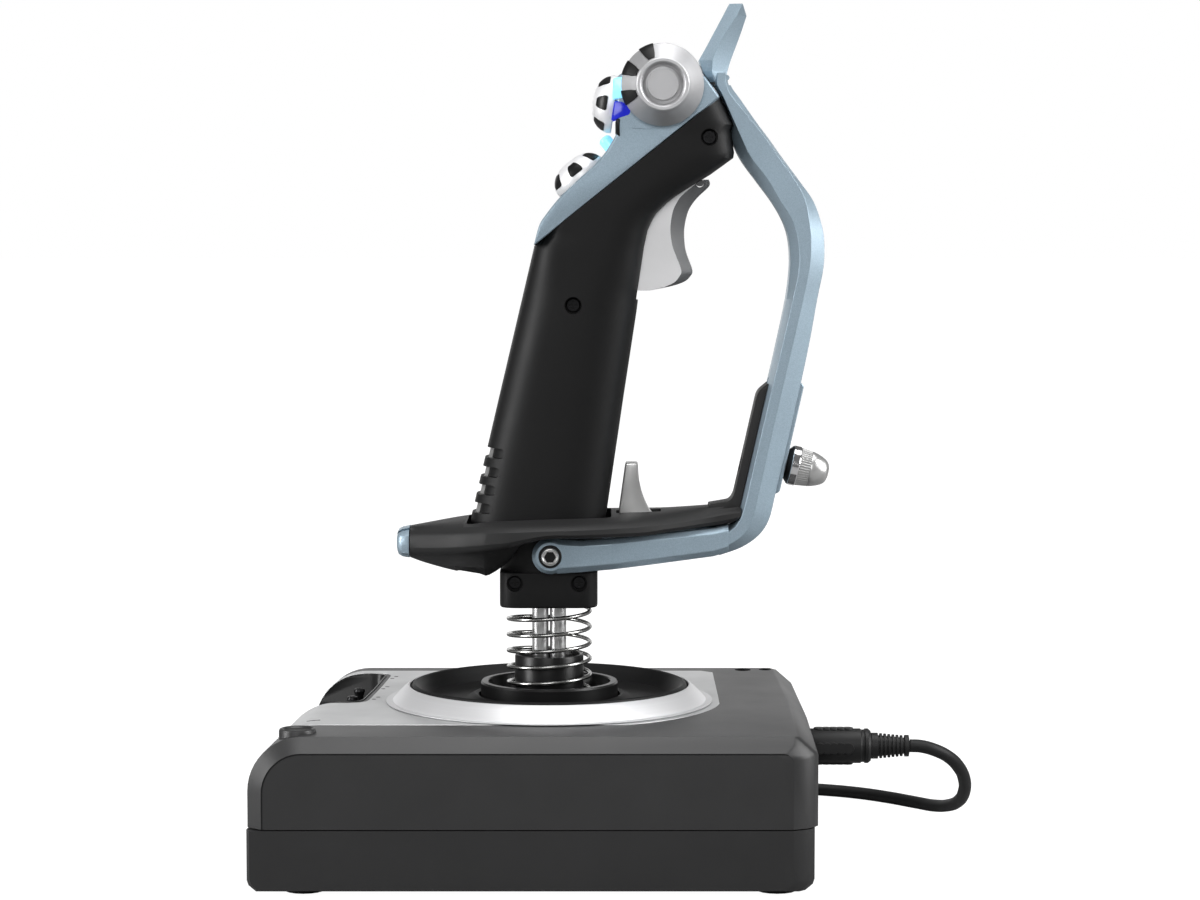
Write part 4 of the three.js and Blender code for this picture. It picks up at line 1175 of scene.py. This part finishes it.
def build_arm_bolt(side, name):
    """A socket-head bolt on a black washer, at the end of one arm."""
    def turned(label, profile, material, segments, angle=32):
        return revolve(label, profile, material, BOLT, (0, side, 0), segments, angle)

    key = turned("key", [(0, 24.2), (2.2, 24.2), (2.2, 30), (0, 30)], BLACK_DARK, 6, 20)
    head = [(0, 22), (3.2, 22), (3.2, 25.4), (3.0, 25.8), (2.7, 25.9), (2.4, 25.6), (0, 25.6)]
    socket_head = carve(turned("head", head, NICKEL, 48, 20), key)
    # A black satin disc at the bottom of the hex socket: painted shade inside the socket.
    floor = turned("floor", [(0, 23.9), (2.25, 23.9), (2.25, 24.35), (0, 24.35)], BLACK_DARK, 24)
    washer = turned("washer", [(0, 22), (4.2, 22), (4.2, 23.8), (4.0, 24.0), (0, 24.0)], BLACK_DARK, 48)
    bolt = join(f"arm_bolt_{name}_head", washer, socket_head, floor)
    place(bolt, "stick", "steel", f"arm_bolt_{name}")


# ---- trigger: level sections with a flat pearl side and a grey finger face ----
# Each section: Z, then X of its back, of the edge of its side face and of its front.
TRIGGER = [(206.0, 30.5, 36.6, 37.3), (207.4, 30.4, 42.0, 44.4), (209.0, 30.3, 45.6, 49.3),
           (211.0, 30.2, 47.4, 51.6), (213.3, 30.1, 48.2, 52.4), (218.8, 30, 46.2, 50.4),
           (222.4, 30.6, 44.9, 49.6), (228.3, 31.6, 44.2, 49.4), (234.1, 35, 44.9, 50.6),
           (237.5, 37.6, 46.3, 52.4), (240.3, 40, 48.2, 54.8), (243.9, 46, 52.4, 58.5),
           (246.2, 50, 55.6, 58.3)]
TRIGGER_PIN = (55, 0, 245)


def build_trigger():
    rings = []
    for z, back, side, front in spline(TRIGGER, 4):
        half = [(back, -6), (side, -6), (front - 0.3, -3.2)]
        ring = half + [(front, 0)] + [(x, -y) for x, y in half[::-1]]
        rings.append(at_height(ring, z))
    trigger = loft("trigger_blade", rings, PEARL, 28)
    carve(trigger, drill(1.6, -20, 20, TRIGGER_PIN, TO_LEFT))
    trigger.data.materials.append(GREY)
    for polygon in trigger.data.polygons:
        if polygon.normal.x > 0.25:
            polygon.material_index = 1
    round_edges(trigger, 0.4, 3, 25)
    place(trigger, "trigger", "white_silver", "trigger")


# ---- hand rest: a palm wing round the grip, and a tongue up the frame ----
WING = [
    # X, half-width, keel half-width, keel bottom, rim bottom, rim top, crown
    (-50.7, 9.6, 6.6, 108.6, 110.5, 117.6, 119.6),
    (-45.0, 14.5, 11.0, 107.0, 110.8, 118.2, 120.4),
    (-34.0, 23.8, 20.6, 105.0, 112.0, 119.4, 121.9),
    (-25.0, 28.6, 22.5, 103.9, 113.2, 120.4, 122.9),
    (-21.4, 30.2, 23.0, 103.6, 113.8, 120.7, 123.2),
    (-14.0, 32.6, 23.0, 108.8, 115.0, 121.2, 123.5),
    (-9.0, 33.0, 23.0, 115.5, 116.4, 121.4, 123.7),
    (0.0, 33.2, 17.5, 118.2, 118.4, 121.8, 124.0),
    (10.0, 32.8, 17.5, 118.2, 118.4, 122.0, 124.3),
    (24.0, 29.2, 16.0, 118.2, 118.5, 122.3, 124.8),
    (36.0, 24.0, 13.0, 118.2, 118.6, 122.6, 125.2),
    (42.0, 20.8, 11.5, 118.9, 119.4, 122.9, 125.5),
    (48.0, 17.6, 10.0, 119.4, 119.8, 123.4, 126.0),
    (58.0, 12.6, 8.0, 120.4, 120.8, 124.6, 127.0),
    (64.0, 11.0, 7.0, 121.0, 121.4, 125.6, 127.6),
    (70.0, 11.0, 7.0, 122.6, 123.0, 126.4, 127.8),
]


CAP = [
    (-51.0, 9.6, 6.0, 108.4, 110.3, 117.8, 119.7),
    (-53.6, 9.2, 5.6, 108.8, 110.6, 117.4, 119.2),
    (-55.0, 8.2, 4.8, 109.6, 111.2, 116.8, 118.5),
    (-55.5, 6.8, 4.0, 110.8, 112.0, 116.0, 117.4),
]


def wing_section(x, half, keel, bottom, rim_low, rim_high, crown):
    right = [(0, bottom), (keel * 0.8, bottom), (keel, bottom + 0.3 * (rim_low - bottom) + 0.1),
             (half - 2.6, rim_low - 0.4), (half - 0.8, rim_low), (half, (rim_low * 0.7 + rim_high * 0.3)),
             (half - 0.2, rim_high - 0.9), (half - 1.4, rim_high + 0.3),
             (half - 4.5, mix(rim_high, crown, 0.55)), (half * 0.6, crown - 0.3), (half * 0.25, crown),
             (0, crown)]
    return [(x, -y, z) for y, z in right] + [(x, y, z) for y, z in right[-2:0:-1]]


def build_hand_rest():
    wing = loft("wing", [wing_section(*row) for row in spline(WING, 3)], REST, 40)
    hole = prism("hole", [(22.8, 128), (22.8, 100), (-34.7, 100), (-28.4, 128)], 18.3, REST)
    bake_modifiers(round_edges(hole, 3.0, 4))
    tongue_side = [(63.0, 123.6), (70.5, 123.6), (76, 134), (frame_inner(171) + 4, 171),
                   (frame_inner(172.6) + 0.4, 172.7), (frame_inner(169.2) - 3.1, 169.2),
                   (frame_inner(131.5) - 3.1, 131.5), (66.0, 129.2), (58.4, 127.9), (58.4, 126.4)]
    tongue = pillow("tongue", tongue_side, [1, 2, 3, 2, 0.8, 2, 2.2, 2, 0.5, 0.5], 6.6, 0.8, 0.5, REST, 3)
    carve(wing, hole, box_cutter((24.6, 41), (-5.2, 5.2), (114, 132)))
    carve(tongue, bow_mesh(0.25, REST), box_cutter((60, 90), (-SLOT_HALF, SLOT_HALF), (139.7, 144.9)))
    carve(wing, bow_mesh(0.25, REST))
    place(join("hand_rest_piece", wing, tongue), "hand_rest", "black_plastic", "handrest_platform")
    cap = loft("cap", [wing_section(*row) for row in CAP], BLUE, 40)
    place(cap, "hand_rest", "blue_metal", "rear_cap")


def build_pinkie_lever():
    side = [(28.0, 143.1), (27.1, 136.5), (26.2, 130), (25.5, 125), (26.4, 120.4), (30.5, 118.6), (36, 118.8),
            (38.6, 123.4), (36.7, 125.8), (34.3, 130.9), (32.9, 136.5), (32.5, 143.1)]
    corners = [0.6, 2, 3, 2, 1, 1, 1, 1, 2, 3, 3, 0.6]
    blade = pillow("blade", side, corners, 4.6, 0.9, 0.6, NICKEL, 3)
    place(blade, "pinkie_lever", "chrome", "pinkie_lever")


# ---- lock knob ----
LOCK_HEIGHT = 142.3
LOCK_BASE = (frame_inner(LOCK_HEIGHT) + 14.6, 0, LOCK_HEIGHT)
LOCK_AXIS = (0.9756, 0, -0.2195)


def knurled_band(line, teeth, depth):
    """A band of fine teeth along a lathe line about the knob's axis, with four points to a tooth."""
    turn = frame_on(LOCK_BASE, LOCK_AXIS)
    steps = [(2 * math.pi * i / (teeth * 4), depth if i % 4 in (2, 3) else 0) for i in range(teeth * 4)]
    rings = [[turn @ on_circle(radius - cut, angle, height) for angle, cut in steps]
             for radius, height in line]
    return loft("knurl", rings, NICKEL, 40)


def build_knob():
    washer = [(0, -0.9), (5.4, -0.9), (7.1, 0.6), (7.1, 0.9), (0, 0.9)]
    stem = [(0, -13.5), (2.1, -13.5), (2.1, 0), (0, 0)]
    ring = [(0, 0.7), (7.0, 0.7), (7.3, 1.0), (7.3, 3.4), (7.1, 3.7), (0, 3.7)]
    dome = [(0, 7.8), (6.4, 7.8), (6.5, 8.1), (6.1, 9.8), (5.5, 11.5), (4.7, 13.1), (4.1, 13.9), (3.2, 14.5),
            (1.7, 14.9), (0, 15)]
    band = [(6.7, 3.6), (7.0, 3.9), (6.5, 7.7), (6.2, 7.9)]
    knob = [revolve("washer", washer, BLACK_DARK, LOCK_BASE, LOCK_AXIS, 48),
            revolve("stem", stem, STEEL, LOCK_BASE, LOCK_AXIS, 32),
            revolve("ring", ring, CHROME, LOCK_BASE, LOCK_AXIS, 64),
            knurled_band(band, 44, 0.2),
            revolve("dome", dome, NICKEL, LOCK_BASE, LOCK_AXIS, 64)]
    place(join("lock_knob_piece", *knob), "lock_knob", "chrome", "lock_knob")


# ---- finishes of the CAD nodes that stay ----
def finish_nodes():
    finishes = {
        STEEL: ["gimbal_cage", "gimbal_ring", "twist_core", "ballast_plate"],
        BLUE: ["cover_hinge_pin"],
        BLACK_DARK: ["sleeve_end_cap", "upper_hat_rocker", "lower_hat_rocker", "link_socket"],
        BOARD: ["main_circuit_board", "pitch_sensor", "roll_sensor"],
        RUBBER: [f"rubber_foot_{i}" for i in range(1, 5)],
        GREY: ["trigger_pin"],
        DARK_STEEL: [f"base_screw_{i}" for i in range(1, 5)],
    }
    for material, names in finishes.items():
        for name in names:
            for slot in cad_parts[name].material_slots:
                slot.material = material


# ---- floor and lights ----
def seen_directly(tree, seen, otherwise, output):
    """Shows one shader to the camera and lights the object with another."""
    rays = tree.nodes.new("ShaderNodeLightPath")
    choose = tree.nodes.new("ShaderNodeMixShader")
    tree.links.new(rays.outputs["Is Camera Ray"], choose.inputs[0])
    tree.links.new(otherwise, choose.inputs[1])
    tree.links.new(seen, choose.inputs[2])
    tree.links.new(choose.outputs[0], output)


FLOOR_HEIGHT = -0.4
PAPER_GLOW = 0.985
ROOM_GLOW = 0.16


def build_stage():
    surface = Surface("floor_paper", (0.14, 0.14, 0.14), 0.8)
    surface.vary_roughness(surface.noise(200), 0.05)
    surface.set("Emission Color", (1, 1, 1, 1))
    surface.set("Emission Strength", PAPER_GLOW)
    dim = surface.node("ShaderNodeBsdfDiffuse")
    dim.inputs["Color"].default_value = (0.3, 0.3, 0.3, 1)
    output = surface.tree.nodes["Material Output"].inputs["Surface"]
    seen_directly(surface.tree, surface.shader.outputs[0], dim.outputs[0], output)
    corners = at_height([(-9000, -6000), (9000, -6000), (9000, 9000), (-9000, 9000)], FLOOR_HEIGHT)
    make("floor", corners, [(0, 1, 2, 3)], surface.material)

    world = bpy.data.worlds.new("studio")
    bpy.context.scene.world = world
    world.use_nodes = True
    tree = world.node_tree
    backdrop = tree.nodes["Background"]
    backdrop.inputs["Color"].default_value = (1, 1, 1, 1)
    backdrop.inputs["Strength"].default_value = 1.0
    room = tree.nodes.new("ShaderNodeBackground")
    room.inputs["Color"].default_value = (1, 1, 1, 1)
    room.inputs["Strength"].default_value = ROOM_GLOW
    seen_directly(tree, backdrop.outputs[0], room.outputs[0], tree.nodes["World Output"].inputs["Surface"])
    bpy.context.scene.view_settings.view_transform = "Standard"


def softbox(name, location, target, size, power):
    """A rectangular area light. Places and sizes are in metres, and the power in watts."""
    data = bpy.data.lights.new(name, "AREA")
    data.shape = "RECTANGLE"
    data.size, data.size_y = size
    data.energy = power
    light = bpy.data.objects.new(name, data)
    light.location = location
    light.rotation_euler = (Vector(target) - Vector(location)).to_track_quat("-Z", "Y").to_euler()
    bpy.context.scene.collection.objects.link(light)


cord = build_cord()
place(build_plug("link_plug_piece", (87, 0, LINK_HEIGHT)), "base", "black_plastic", "link_plug")
place(build_relief("relief_rings", (118.7, 0, LINK_HEIGHT)), "base", "black_plastic", "strain_relief")
far = build_plug("far_plug_piece", (-51.5, FAR_PLUG_Y, FAR_PLUG_HEIGHT), math.pi / 4)
far = join("far_plug_piece", far, build_relief("far_relief", (-20.3, FAR_PLUG_Y, FAR_PLUG_HEIGHT)))
place(far, "base", "black_plastic", "far_plug")

build_base()
build_deck_plate()
build_label_dots()
build_pocket()
build_toggles()
build_bowl()
build_cup()
build_spring()
build_shafts()
build_collar()
build_grip()
build_head_cover()
build_head_buttons()
build_hats()
build_dial()
build_fin()
build_hand_frame()
build_slot_plate()
build_arm_bolt(-1, "right")
build_arm_bolt(1, "left")
build_trigger()
build_hand_rest()
build_pinkie_lever()
build_knob()
finish_nodes()
build_stage()
softbox("left", (-1.5, -0.5, 0.45), (0, 0, 0.12), (0.5, 1.1), 24)
softbox("right", (1.3, -0.35, 0.72), (0.05, 0, 0.18), (0.6, 1.2), 22)
softbox("top", (0.1, -0.1, 1.5), (0, 0, 0.1), (1.3, 0.9), 16)
softbox("front", (-0.2, -1.9, 0.9), (0, 0, 0.15), (1.0, 0.7), 10)
softbox("back", (0, 2.0, 0.35), (0, 0, 0.1), (2.6, 0.5), 5)
